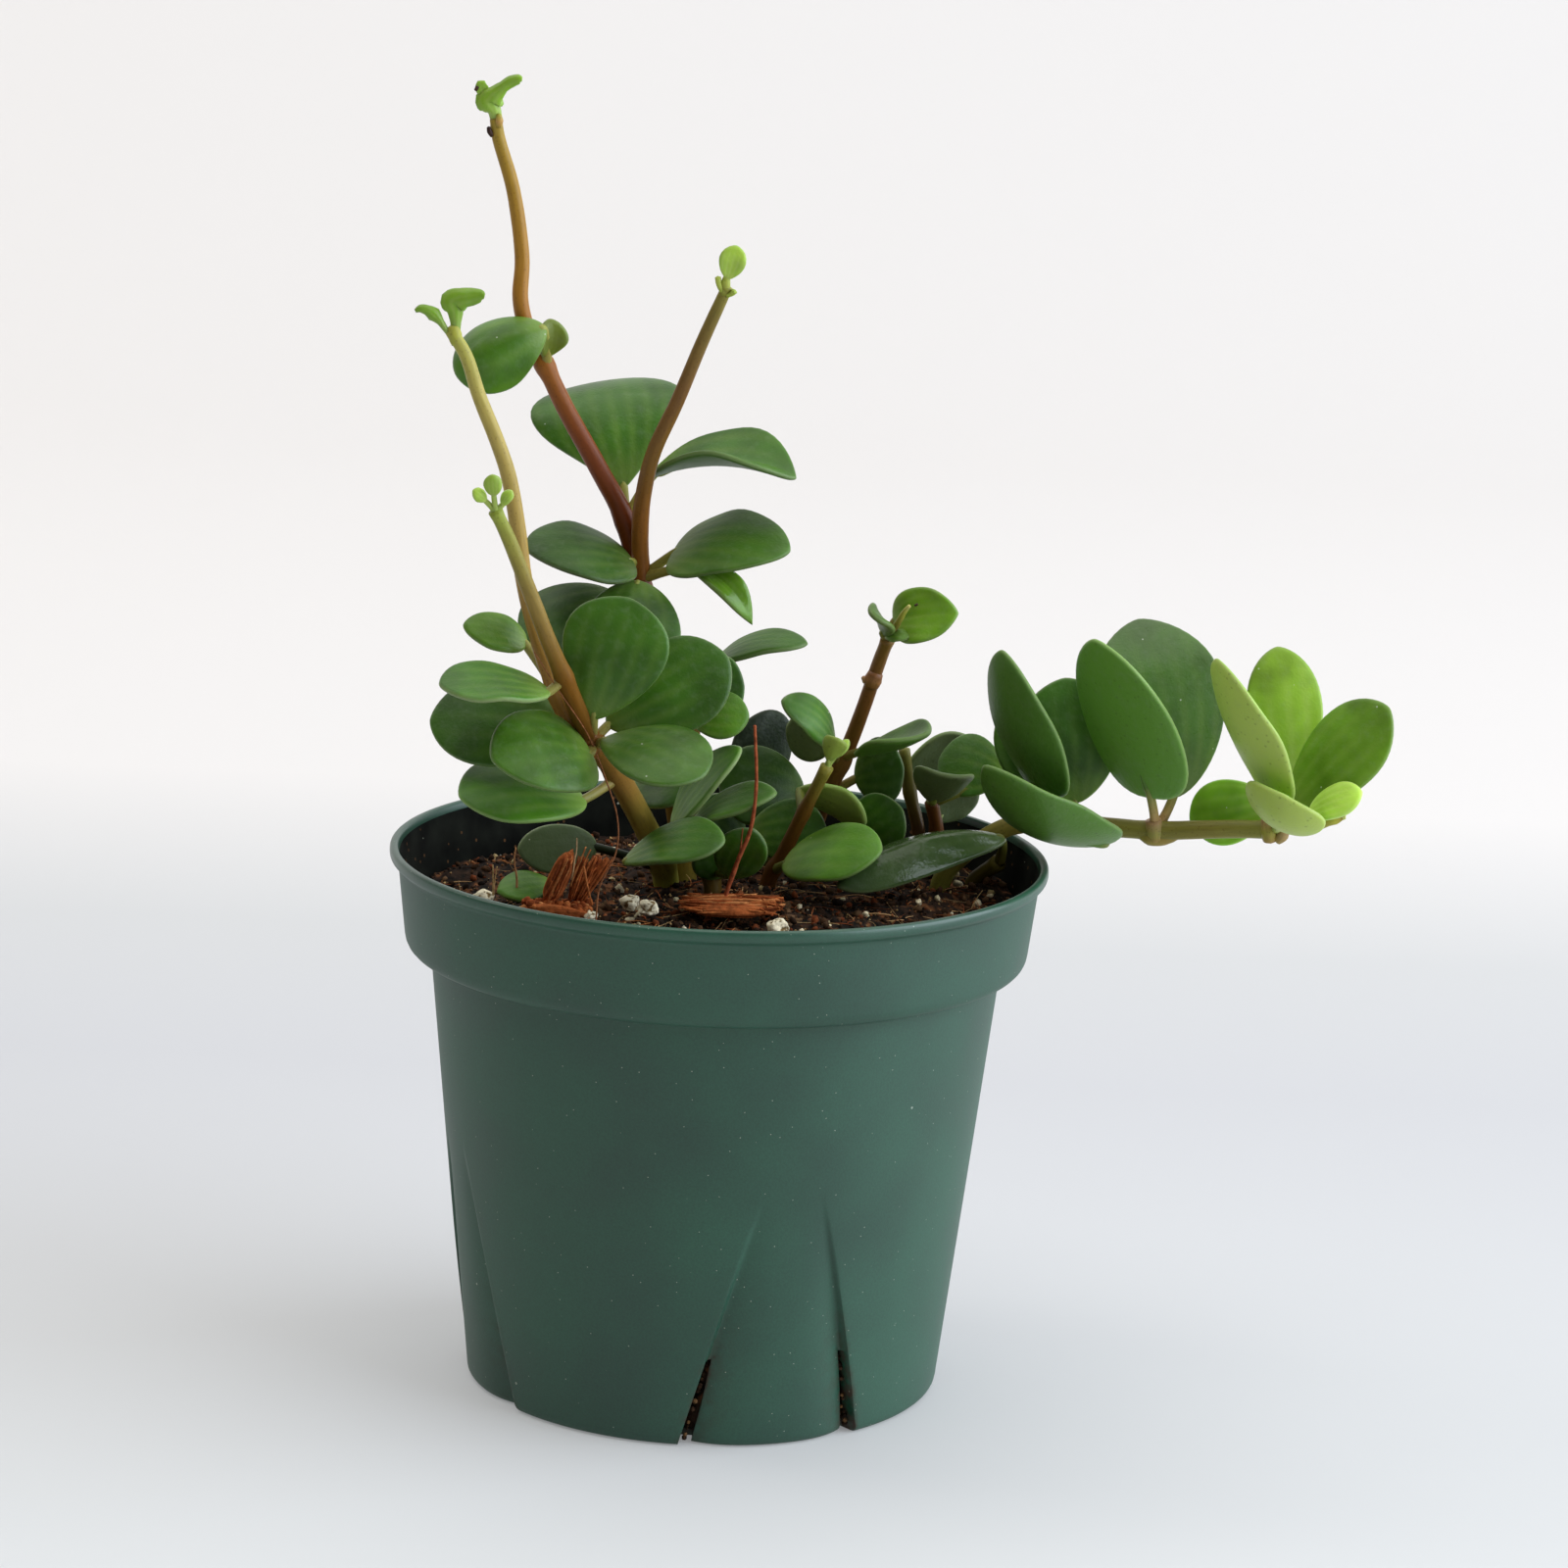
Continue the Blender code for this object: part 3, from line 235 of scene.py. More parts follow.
LEAFY_STEMS["rosette_vine"] = {
    "stems": [["94943c", "8c8a36", "8a662e", "74501e"],
              ["7e5420", "966e30", "a08644", "a89650", "a0a048"],
              ["5e3e12", "724a16", "847034", "889438"]],
    "stalk": ("8a7440", "8c9c4a"),
    "shoots": [
        (2.2, 1.8, [(-9, 12, 69), (-9, 12, 81), (-11.5, 3, 90), (-15, -8, 99.5), (-18.5, -17, 107.5),
         (-21, -22, 111)]),
        (1.6, 1.0, [(-21, -22, 111), (-24.5, -23, 115), (-27.5, -25, 122.5), (-30, -27, 130.5),
         (-32, -28, 138.5), (-33, -29, 146), (-34.5, -30, 154), (-36.5, -31, 160), (-39.5, -31, 167),
         (-41.5, -32, 173), (-44, -32, 177)]),
        (1.6, 1.0, [(-21, -22, 111), (-22.5, -26, 116), (-25, -32, 123.5), (-27.5, -37, 130.5),
         (-30.5, -41, 139), (-33.5, -44, 147), (-35.5, -46, 151.5)]),
    ],
    "leaves": [
        (0, 4.8, (-20.5, -25.5, 115.5), (-15.5, -24, 135), 18, (-90, 22), 0.08, -0.08, 0.4, 0.2,
         {"light": 0.37}),
        (0, 4.9, (-18.5, -20, 113.5), (0.5, -19, 125), 16, (-85, 25), 0.08, -0.05, 0.2, 0.2,
         {"light": 0.37}),
        (0, 4.7, (-19, -25, 112), (-2.5, -38, 109.5), 16, (-75, 55), 0.1, -0.08, 0.4, 0.3,
         {"light": 0.27}),
        (0, 4.9, (-20.5, -27, 110), (-35.5, -40, 111.5), 16.5, (-95, 40), 0.1, -0.08, -0.6, 0.3,
         {"light": 0.36}),
        (2, 2, (-27, -33, 121), (-44, -38, 122.5), 15, (-90, 76), 0.06, 0.05, 0, 0.1, {"light": 0.64}),
        (0, 4.9, (-24, -22, 112.5), (-46.5, -22, 113.5), 16, (-90, 35), 0.08, -0.05, 0, 0.1,
         {"light": 0.42}),
        (0, 3.5, (-21.5, -20, 101), (-41, -30, 103), 17, (-92, 62), 0.1, -0.08, 0, 0.2, {"light": 0.68}),
        (1, 1.6, (-31.5, -22, 126.5), (-41.5, -24, 129.5), 7, (-90, 45), 0.12, -0.05, -0.4, 0.45,
         {"gloss": 0.35, "light": 0.36}),
        (0, 1.3, (-20.5, 8, 87), (-33.5, 5, 86.7), 8.5, (-90, 15), 0.08, -0.05, -0.3, 0,
         {"grey": 0.9, "light": 0.66, "gloss": 0.1, "stalk": ("1c2412", "26321a")}),
        (0, 1.6, (-15.5, -7, 88), (1, -15, 94), 11, (-80, 55), 0.1, 0.05, 0.3, 0.2),
        (2, 6, (-35.8, -46.5, 154), (-36, -48, 157.5), 3, (-90, 10), 0.12, -0.2, 0, 1),
        (2, 6, (-37, -46, 153), (-39, -47, 154.8), 2.2, (-90, 30), 0.12, -0.2, 0, 1),
        (2, 6, (-34.5, -46, 152.5), (-33, -47, 155), 2, (-90, 30), 0.12, -0.2, 0, 1),
    ],
    "young": [
        (((-43.3, -32, 176.3), (-43.3, -32.2, 178.2), (-43.4, -32.4, 180), (-43.7, -32.6, 181.4),
         (-42.4, -33, 182.2), (-40.8, -33, 182.5), (-39.5, -33, 182.7), (-38.9, -33, 182.6)),
         (0.7, 0.85, 1.3, 2.2, 1.6, 1.4, 1.0, 0.4), 0.3, 0.36, 0.7),
        (((-44.4, -32.2, 176.6), (-45.6, -32.4, 178.3), (-46.6, -32.5, 179.4), (-47.7, -32.7, 180.1),
         (-48.7, -32.9, 180.3), (-49.5, -33, 179.9)), (0.4, 0.6, 1.15, 0.8, 0.65, 0.3), 0.3, 0.36, 0.7),
    ],
    "knots": [
        (((-42.9, -32, 175), (-43.4, -32, 176.3), (-43.7, -32, 177.6)), (0.95, 1.15, 0.9),
         ["a0a03c", "9c9c40"]),
        (((-21.2, -21.5, 109), (-21.2, -22.3, 111.3), (-22, -23, 113.6)), (1.8, 2.2, 1.6),
         ["7c5424", "6c4418", "7a5020"]),
    ],
}
LEAFY_STEMS["low_shoot"] = {
    "stems": [["4e3c16", "5e4a1e", "6a5a28"]],
    "stalk": ("5a5a22", "6a7a30"),
    "shoots": [
        (1.6, 1.2, [(-1, 6, 71), (-1, 6, 81), (-2.5, 7, 87), (-4.5, 10, 94), (-5.5, 11, 104),
         (-4.5, 10, 112)]),
    ],
    "leaves": [
        (0, 2, (-8, -3, 92.2), (3, -6, 107.7), 10, (-150, 38), 0.08, 0.1, 0, 0.1, {"light": 0.8}),
        (0, 2, (-6, -1, 91), (9, -9, 101), 9.5, (-100, 66), 0.12, 0.1, 0, 0.2),
        (0, 1.6, (1.5, -1, 85), (5.5, -6, 94.4), 9, (-70, 35), 0.1, 0, 0, 0.1),
        (0, 1.4, (0.5, 4.5, 83.8), (-2.5, 0.5, 90.8), 9, (-90, 30), 0.1, 0, 0, 0),
        (0, 5, (-5.5, -2, 111.5), (4, -4, 112.5), 8.5, (-90, 30), 0.1, -0.05, 0, 0.36, {"light": 0.4}),
        (0, 5, (-4, 1.5, 115.6), (3, 0.5, 116.6), 11, (-90, 12), 0.05, 0, 0, 0),
        (0, 5, (-3.5, 10, 116.5), (13, 4, 123.3), 9, (-115, 72), 0.14, 0, 0, 0.2),
    ],
}
LEAFY_STEMS["back_shoot"] = {
    "stems": [["3c3414", "4a4a1c"]],
    "stalk": ("3e4a1a", "4a5c20"),
    "shoots": [(1.6, 1.2, [(7, 28, 71), (7, 28, 81), (8, 27.5, 90), (9, 27, 97)])],
    "leaves": [
        (0, 3, (10, 28.5, 97), (2, 26, 104.3), 14, (-90, 30), 0.08, -0.05, 0, 0, {"light": 0.04}),
        (0, 2.6, (13.5, 23, 94.2), (-1, 20.5, 96.5), 14.5, (-90, 25), 0.08, -0.05, 0, 0),
        (0, 1.3, (4.5, 16.5, 88.3), (17.5, 14, 90), 11.5, (-90, 25), 0.08, -0.05, 0, 0),
        (0, 1.4, (3.5, 24, 85), (-5, 20, 91.5), 11, (-90, 30), 0.08, -0.05, 0, 0),
    ],
}
LEAFY_STEMS["front_shoot"] = {
    "stems": [["4a280a", "52300c", "583510", "5e3c12", "664818", "8a8434"]],
    "stalk": ("5a5a24", "7a8a3c"),
    "shoots": [(1.5, 1.0, [(8, 10, 70), (8, 10, 81), (10.5, 9, 87), (13.5, 7, 94.5), (17, 4, 103)])],
    "leaves": [
        (0, 1.5, (10.5, 5.5, 85.8), (26.5, -5, 91.2), 13, (-85, 48), 0.1, -0.05, 0, 0.3, {"light": 0.62}),
        (0, 3, (12.4, 11.5, 97.3), (24, 9.5, 92.3), 9, (90, 45), 0.06, 0.15, 0, 0.6),
        (0, 4, (17.1, 3.7, 103.8), (18.6, 1.8, 108.4), 4.4, (80, 20), 0, 0.5, 0.8, 1),
        (0, 4, (18, 4.2, 104.4), (20.4, 4.6, 107.6), 2, (-90, 20), 0.1, 0.1, 0, 1),
    ],
}
LEAFY_STEMS["upright_shoot"] = {
    "stems": [["52341a", "60401e", "6e4a22", "70461f", "7a5c28"]],
    "stalk": ("7a5a2c", "86904a"),
    "shoots": [
        (1.6, 1.1, [(14, 26, 70), (14, 26, 81), (16, 24, 90), (18.3, 21, 97), (20.8, 19, 104),
         (22.9, 17, 111), (24.9, 15, 118.5), (26.2, 13, 123)]),
    ],
    "leaves": [
        (0, 7, (27, 13.5, 126), (37.5, 8, 128.8), 9.5, (-85, 20), 0.1, -0.05, -0.6, 0.6,
         {"point": 0.4, "gloss": 0.5, "fold": 0.25, "wave": 0.6}),
        (0, 7, (25.5, 12, 124), (23, 6, 128.5), 6, (10, 40), 0.1, 0.3, 0, 0.5, {"grey": 0.3}),
        (0, 7, (25.7, 11.5, 123.7), (29.8, 8.5, 124.3), 3, (-90, 50), 0.1, -0.05, 0, 0.5, {"grey": 0.3}),
        (0, 3.4, (18, 17.5, 103), (9, 10, 112.5), 8, (-50, 35), 0.14, 0, 0, 0.2),
        (0, 3.6, (22, 16, 103.2), (33.3, 7, 108.6), 12.5, (-100, 80), -0.05, 0.45, 0, 0.3),
        (0, 3.4, (17.5, 20, 102.5), (10, 24, 105.2), 10, (100, 20), 0.1, 0, 0, 0.1),
        (0, 2.6, (22, 22, 97.3), (30, 18, 100.5), 12, (-90, 22), 0.08, -0.05, 0, 0),
        (0, 1.6, (22, 18, 87.2), (30, 14, 94.2), 11, (-90, 22), 0.08, -0.05, 0, 0),
    ],
    "knots": [
        (((26, 12.4, 123.4), (27.4, 9.5, 126), (28.6, 8, 128.6), (29.4, 7.4, 129.8)),
         (0.75, 0.55, 0.42, 0.3), ["7c6234", "86783a", "98983c", "b8b468"]),
        (((30.2, 7, 129.9), (30.7, 7, 130.2)), (0.2, 0.2), ["2c2410", "2c2410"]),
        (((23.8, 15.6, 114.4), (24.1, 15.3, 115.6), (24.5, 15, 116.8)), (1.25, 1.6, 1.3),
         ["784c28", "8a6034", "784e2c"]),
        (((22.9, 15.2, 115.4), (22.4, 15, 116.1)), (0.6, 0.35), ["94683c", "a88058"]),
    ],
}
LEAFY_STEMS["small_shoot"] = {
    "stems": [["3a2410", "4a3014", "6a682a"], ["54300f", "643c16"]],
    "stalk": ("6a6a2c", "7c8a3c"),
    "shoots": [
        (1.3, 1.0, [(34, 23, 71), (34, 23, 81), (33, 24, 88.5), (31.3, 23.5, 95), (30, 22.5, 102.5)]),
        (1.3, 1.1, [(34, 23, 81), (36, 22.5, 88), (35, 21, 94)]),
    ],
    "leaves": [
        (0, 3, (30.5, 30.5, 96.8), (44, 33.5, 98.2), 14.5, (90, 25), 0.08, -0.05, 0, 0.1),
        (1, 2, (35, 19, 94.6), (37.6, 12.5, 100.6), 11, (90, 60), 0, 0.5, 0.3, 0.12, {"light": 0.5}),
        (1, 2, (47, 23, 98.5), (36, 26, 100.2), 12, (-95, 30), 0.08, -0.05, 0, 0.1),
        (1, 1, (36, 27, 89.5), (43, 29, 95), 8, (90, 30), 0.08, 0, 0, 0.1),
    ],
}
LEAFY_STEMS["trailing_vine"] = {
    "stems": [["6c7428", "7c7430", "7c7030", "74702c", "7c7430", "848438"], ["848438", "a0a450"]],
    "stalk": ("a87c58", "9c8450", "7a8040", "50702c", "4a6c28"),
    "shoots": [
        (1.7, 1.5, [(37, 17, 71), (37, 17, 81), (41, 17, 86.5), (48, 16, 91.5), (56, 14, 92.8),
         (64, 12, 93), (72, 10, 93.2), (79, 8, 94.1), (85, 7, 94.7), (91, 5, 95.3)]),
        (1.0, 0.7, [(91, 5, 95.3), (97, 3, 96.5), (102, 1.5, 99)]),
    ],
    "leaves": [
        (0, 4.2, (53.5, 5.5, 99.3), (44.5, -1.5, 124.8), 16, (37, 15), -0.06, 0.25, -0.9, 0.2,
         {"light": 0.66}),
        (0, 4.3, (58.5, 15, 96), (56, 17, 117), 18, (-82, 15), 0.06, -0.05, 0, 0.15),
        (0, 4.1, (53.3, 17, 96), (48.8, 19, 113), 13, (-90, 20), 0.06, -0.05, 0, 0.1),
        (0, 4.6, (64, 3, 92.5), (42.3, -8, 107), 15, (60, 35), -0.15, 0.3, -0.8, 0.25, {"light": 0.57}),
        (0, 6, (70.8, 6, 99.5), (59.2, -3, 127.5), 20, (46, 15), -0.01, 0.15, -0.9, 0.25,
         {"light": 0.85}),
        (0, 6, (75, 11.5, 98.5), (68.5, 16, 127.5), 22.5, (-85, 12), 0.06, -0.05, 0, 0.15,
         {"light": 0.62, "curl": 0.25, "gloss": 0.6, "grey": 0.45}),
        (0, 9, (91, 2, 100.5), (79, -5, 125.5), 14.5, (30, 20), -0.02, 0.25, -0.9, 0.8, {"light": 0.6}),
        (0, 9, (94, 8, 102), (90.5, 13, 124.5), 13, (-88, 12), 0.06, -0.05, 0, 0.8, {"light": 0.43}),
        (0, 9, (93.5, 5.5, 98.7), (108, -0.5, 117.7), 15, (-118, 30), 0.06, -0.05, 0.2, 0.6,
         {"light": 0.37}),
        (0, 9, (91, 9, 99), (78, 15, 94), 11.5, (-90, 12), 0.06, -0.05, 0, 0.5, {"light": 0.95}),
        (0, 9, (91.5, 1, 96.7), (91, -8, 104.2), 15, (30, 60), -0.15, 0.4, 0, 0.8, {"light": 0.6}),
        (1, 1, (96, -0.5, 99.4), (104, -5, 104.4), 6.5, (-90, 40), 0.06, -0.05, 0, 0.9,
         {"light": 0.98, "grey": 0.25}),
    ],
    "knots": [
        (((69.2, 10.6, 92.8), (71.2, 9.8, 92), (73.4, 9.6, 92), (76, 9, 93)), (0.9, 1.4, 1.2, 0.7),
         ["7c7c34", "8a7c38", "94803e", "84783a"]),
        (((71.4, 9, 95.2), (71.8, 9.2, 93.2), (72, 9.6, 91.8)), (1.3, 1.5, 1.2),
         ["9c7a54", "8a8640", "94783c"]),
        (((89.9, 4.6, 97.4), (90.2, 4.2, 95.2), (90.5, 4.4, 93.6)), (1.15, 1.5, 1.2),
         ["a4785c", "94903c", "9a7c44"]),
        (((92.6, 3.6, 96.4), (92.4, 3.4, 94.8), (91.6, 4, 93.8)), (0.7, 1.0, 0.8),
         ["a88458", "a08858", "94803c"]),
        (((98.5, 2.2, 97.4), (100.6, 1.6, 98.3), (102, 1.4, 99)), (0.8, 0.95, 0.45),
         ["94903c", "a8a43c", "5a3c18"]),
    ],
}
LEAFY_STEMS["leaning_leaf"] = {
    "stems": [["5a4a1e", "5e5520"]],
    "stalk": ("5e5520", "5a6a28"),
    "shoots": [(1.4, 1.3, [(42.5, 18.5, 76), (42.5, 18.5, 81), (46.5, 15, 85.5)])],
    "leaves": [
        (0, 2, (47.3, 12.2, 90.2), (19.5, -4.3, 84.6), 10.4, (-95, 64), 0.12, -0.1, 0, 0,
         {"gloss": 1.0, "fold": -0.6, "light": 0.4, "grey": 0.6}),
    ],
}

FALLEN_LEAF = (0, 0, (-27, 0.6, 81.4), (-36.2, -3, 80.6), 7.2, (-90, 58), 0.08, -0.1, 0, 0.25)

# Pale bits of husk and perlite that show on the soil: place and size.
CREAM_BITS = (
    (39.6, 22.6, 1.3), (40, 16.3, 1.4), (43.5, 22, 1.2), (32.9, -1.9, 1.2), (43, 3.2, 1.3), (13.5, -3.9, 1.2),
    (-23.3, -15.6, 0.8), (-16.4, 7.2, 1.6), (-12.8, -13, 1.3), (-13.9, -15.4, 1.2),
    (-22, -6.7, 1.4), (-9.9, 18.7, 1.0), (-5.4, 2.9, 1.0), (-30.1, -2.1, 1.0), (24, -8.4, 1.0), (45, 9, 0.9),
)

# The long husk fibres: radius, colour, and points from the soil up.
LONG_FIBRES = (
    (0.42, "9a4f30", ((0.5, -9, 81), (3, -10, 89.6), (5, -11, 95.6), (5.6, -12, 103.2), (5, -13, 113))),
    (0.2, "a05a38", ((0.5, -9, 82), (3, -9, 88.5), (3.7, -10, 95.3))),
    (0.16, "8d5a3a", ((-19.2, -20, 81), (-18.8, -19, 86.8), (-16.4, -19, 92.5), (-16.3, -20, 98.4),
                      (-18.3, -22, 105.2), (-21.2, -26, 113.1), (-25.7, -32, 121.2), (-29.5, -36, 128))),
    (0.2, "a87850", ((-33, -3, 81), (-33, -3, 83.6), (-33.5, -3, 86.7), (-33.3, -3, 88.9))),
    (0.18, "b89868", ((-36.6, -6, 81), (-36.7, -6, 83.6), (-36.8, -6, 86.6))),
    (0.14, "b89868", ((-36.6, -6, 81), (-36.4, -6, 84.2), (-36.1, -6, 86.3))),
    (0.18, "c09a70", ((-23.6, -12, 86), (-23.3, -12, 89), (-23, -12, 90.9), (-23, -12, 93))),
    (0.2, "b07040", ((-23.8, -12, 85), (-23.1, -12, 87.3), (-22.3, -12, 89.3), (-21.5, -12, 91.6))),
    (0.18, "a86434", ((-23, -12, 85.6), (-22, -12, 88), (-21.4, -12, 89.7), (-20.7, -12, 91.2))),
    (0.22, "b06838", ((-21.7, -13, 88.6), (-21, -14, 85.8), (-20.1, -14, 82.4))),
)


# Colours and nodes

# Settings of a node that blends colours: input 0 is the share of input 7 over input 6.
BLEND = {"data_type": "RGBA", "out": 2}
EASED = {"interpolation_type": "SMOOTHSTEP"}


def linear(code):
    """An sRGB hex colour as linear light: c / 12.92 up to 0.04045, else ((c + 0.055) / 1.055) ** 2.4."""
    channels = [int(code[i:i + 2], 16) / 255 for i in (0, 2, 4)]
    return (*[c / 12.92 if c <= 0.04045 else ((c + 0.055) / 1.055) ** 2.4 for c in channels], 1.0)


def feed(tree, node, feeds):
    """Feeds a node's inputs by name or number: a socket is linked, and anything else is the value."""
    for key, value in feeds.items():
        if isinstance(value, bpy.types.NodeSocket):
            tree.links.new(value, node.inputs[key])
        else:
            node.inputs[key].default_value = value


def add(tree, kind, feeds=(), out=0, stops=(), **settings):
    """Adds a shader node and returns its output out, or all of them where out is None. feeds are its
    inputs, by name or number or else in order, stops a ramp's (place, colour) pairs, and settings its
    properties."""
    made = tree.nodes.new("ShaderNode" + kind)
    for key, value in settings.items():
        setattr(made, key, value)
    feed(tree, made, feeds if isinstance(feeds, dict) else dict(enumerate(feeds)))
    if stops:
        ramp = made.color_ramp.elements
        while len(ramp) < len(stops):
            ramp.new(0.5)
        for element, (place, code) in zip(ramp, stops):
            element.position = place
            element.color = linear(code)
    return made.outputs if out is None else made.outputs[out]


def start_material(name, **constants):
    """A material with its Principled shader; constants are the shader's own values by input name."""
    made = bpy.data.materials.new(name)
    made.use_nodes = True
    tree = made.node_tree
    shader = tree.nodes["Principled BSDF"]
    feed(tree, shader, {key.replace("_", " "): value for key, value in constants.items()})
    return made, tree, shader


# Shapes

def hashed(cells, seed):
    """A number from 0 to 1 for each whole-numbered cell: the fraction of a large sine."""
    wave = np.sin(cells @ np.array([127.1, 311.7, 74.7]) + seed * 17.3) * 43758.5453
    return wave - np.floor(wave)


def noise(points, size, seed=0, octaves=3):
    """Value noise from -1 to 1: smoothed blends of the eight corners of each cell, halved in size and
    strength for each octave."""
    total, weight = 0.0, 0.0
    for octave in range(octaves):
        scaled = np.asarray(points, float) / size * 2 ** octave
        cell = np.floor(scaled)
        share = scaled - cell
        share = share * share * (3 - 2 * share)
        value = 0.0
        for corner in np.ndindex(2, 2, 2):
            part = np.prod(np.where(corner, share, 1 - share), axis=-1)
            value = value + part * hashed(cell + corner, seed + octave)
        total = total + (2 * value - 1) * 0.5 ** octave
        weight += 0.5 ** octave
    return total / weight


def unit(vectors):
    """Vectors scaled to length 1."""
    return vectors / np.linalg.norm(vectors, axis=-1, keepdims=True)


def ringed(rings, first, last, finish=0, **data):
    """A closed shell: a first pole, rings of points that turn counter-clockwise about the way to the
    last pole, and the last pole. data holds an attribute's values for the same points."""
    rows, columns = rings.shape[:2]
    row = 1 + np.arange(rows - 1)[:, None] * columns
    column = np.arange(columns)[None, :]
    following = (column + 1) % columns
    corners = (row + column, row + following, row + columns + following, row + columns + column)
    top = 1 + (rows - 1) * columns
    end = rows * columns + 1
    around, beside = column[0], following[0]
    fans = [(0 * around, 1 + beside, 1 + around), (0 * around + end, top + around, top + beside)]
    return {"points": np.vstack([first, rings.reshape(-1, 3), last]),
            "quads": np.stack(corners, -1).reshape(-1, 4),
            "fans": np.vstack([np.stack(fan, -1) for fan in fans]),
            "finish": finish, "data": data}


def spread(values, rows, columns):
    """An attribute's values for a ringed shell, from one row of values for each ring or point."""
    values = np.broadcast_to(np.asarray(values, float), (rows, columns, np.shape(values)[-1]))
    flat = values.reshape(rows * columns, -1)
    return np.vstack([flat[:1], flat, flat[-1:]])


def put(name, data):
    """A new object in the scene."""
    made = bpy.data.objects.new(name, data)
    bpy.context.scene.collection.objects.link(made)
    return made


def build(name, shells, materials, body="root", stands_for=()):
    """One mesh object from shells in millimetres, with its attributes, materials and body."""
    points, faces, sizes, finishes, first = [], [], [], [], 0
    for shell in shells:
        points.append(shell["points"])
        for key, corners in (("quads", 4), ("fans", 3)):
            if len(shell.get(key, ())):
                faces.append((shell[key] + first).ravel())
                sizes.append(np.full(len(shell[key]), corners))
                finishes.append(np.full(len(shell[key]), shell["finish"]))
        first += len(shell["points"])
    points, faces, sizes = np.vstack(points) * MM, np.concatenate(faces), np.concatenate(sizes)
    mesh = bpy.data.meshes.new(name)
    mesh.vertices.add(len(points))
    mesh.vertices.foreach_set("co", points.astype(np.float32).ravel())
    mesh.loops.add(len(faces))
    mesh.loops.foreach_set("vertex_index", faces.astype(np.int32))
    mesh.polygons.add(len(sizes))
    mesh.polygons.foreach_set("loop_start", (np.cumsum(sizes) - sizes).astype(np.int32))
    mesh.polygons.foreach_set("material_index", np.concatenate(finishes).astype(np.int32))
    mesh.update(calc_edges=True)
    for key in sorted({key for shell in shells for key in shell["data"]}):
        values = [shell["data"].get(key, np.zeros((len(shell["points"]), 4))) for shell in shells]
        attribute = mesh.attributes.new(key, "FLOAT_COLOR", "POINT")
        attribute.data.foreach_set("color", np.vstack(values).astype(np.float32).ravel())
    mesh.shade_smooth()
    for finish in materials:
        mesh.materials.append(finish)
    made = put(name, mesh)
    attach(made, body)
    if stands_for:
        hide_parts(*stands_for)
    return made


def smooth_route(points, steps):
    """The points with steps - 1 more between each two, on a Catmull-Rom curve through them."""
    known = np.array(points, float)
    known = np.vstack([2 * known[0] - known[1], known, 2 * known[-1] - known[-2]])
    t = (np.arange(steps) / steps)[:, None]
    runs = []
    for before, start, end, after in zip(known, known[1:], known[2:], known[3:]):
        square = 2 * before - 5 * start + 4 * end - after
        cube = 3 * start - before - 3 * end + after
        runs.append(0.5 * (2 * start + (end - before) * t + square * t ** 2 + cube * t ** 3))
    return np.vstack(runs + [known[-2:-1]])


def tube_rings(route, radii, sides):
    """Rings along a route, each turned from the last by the least twist, and the turn of each side."""
    tangents = unit(np.gradient(route, axis=0))
    side = np.cross(tangents[0], (0.3, 1.0, 0.1))
    turn = np.arange(sides) * 2 * np.pi / sides
    rings = []
    for point, tangent, radius in zip(route, tangents, radii):
        side = unit(side - side @ tangent * tangent)
        other = np.cross(tangent, side)
        rings.append(point + radius * (np.outer(np.cos(turn), side) + np.outer(np.sin(turn), other)))
    return np.array(rings), turn


def tube(route, radii, sides, colour):
    """A closed tube of one colour along a route, with flat ends."""
    rings, _ = tube_rings(route, radii, sides)
    return ringed(rings, route[0], route[-1], tint=spread(colour, len(route), sides))


# Materials

def speckled(tree, place, scale, size):
    """A mask of round specks: 1 where a point is nearer than size to the middle of its cell, with both
    in shares of a cell of 1000 / scale millimetres."""
    near = add(tree, "TexVoronoi", {"Vector": place, "Scale": scale})
    return add(tree, "Math", (near, size), operation="LESS_THAN")


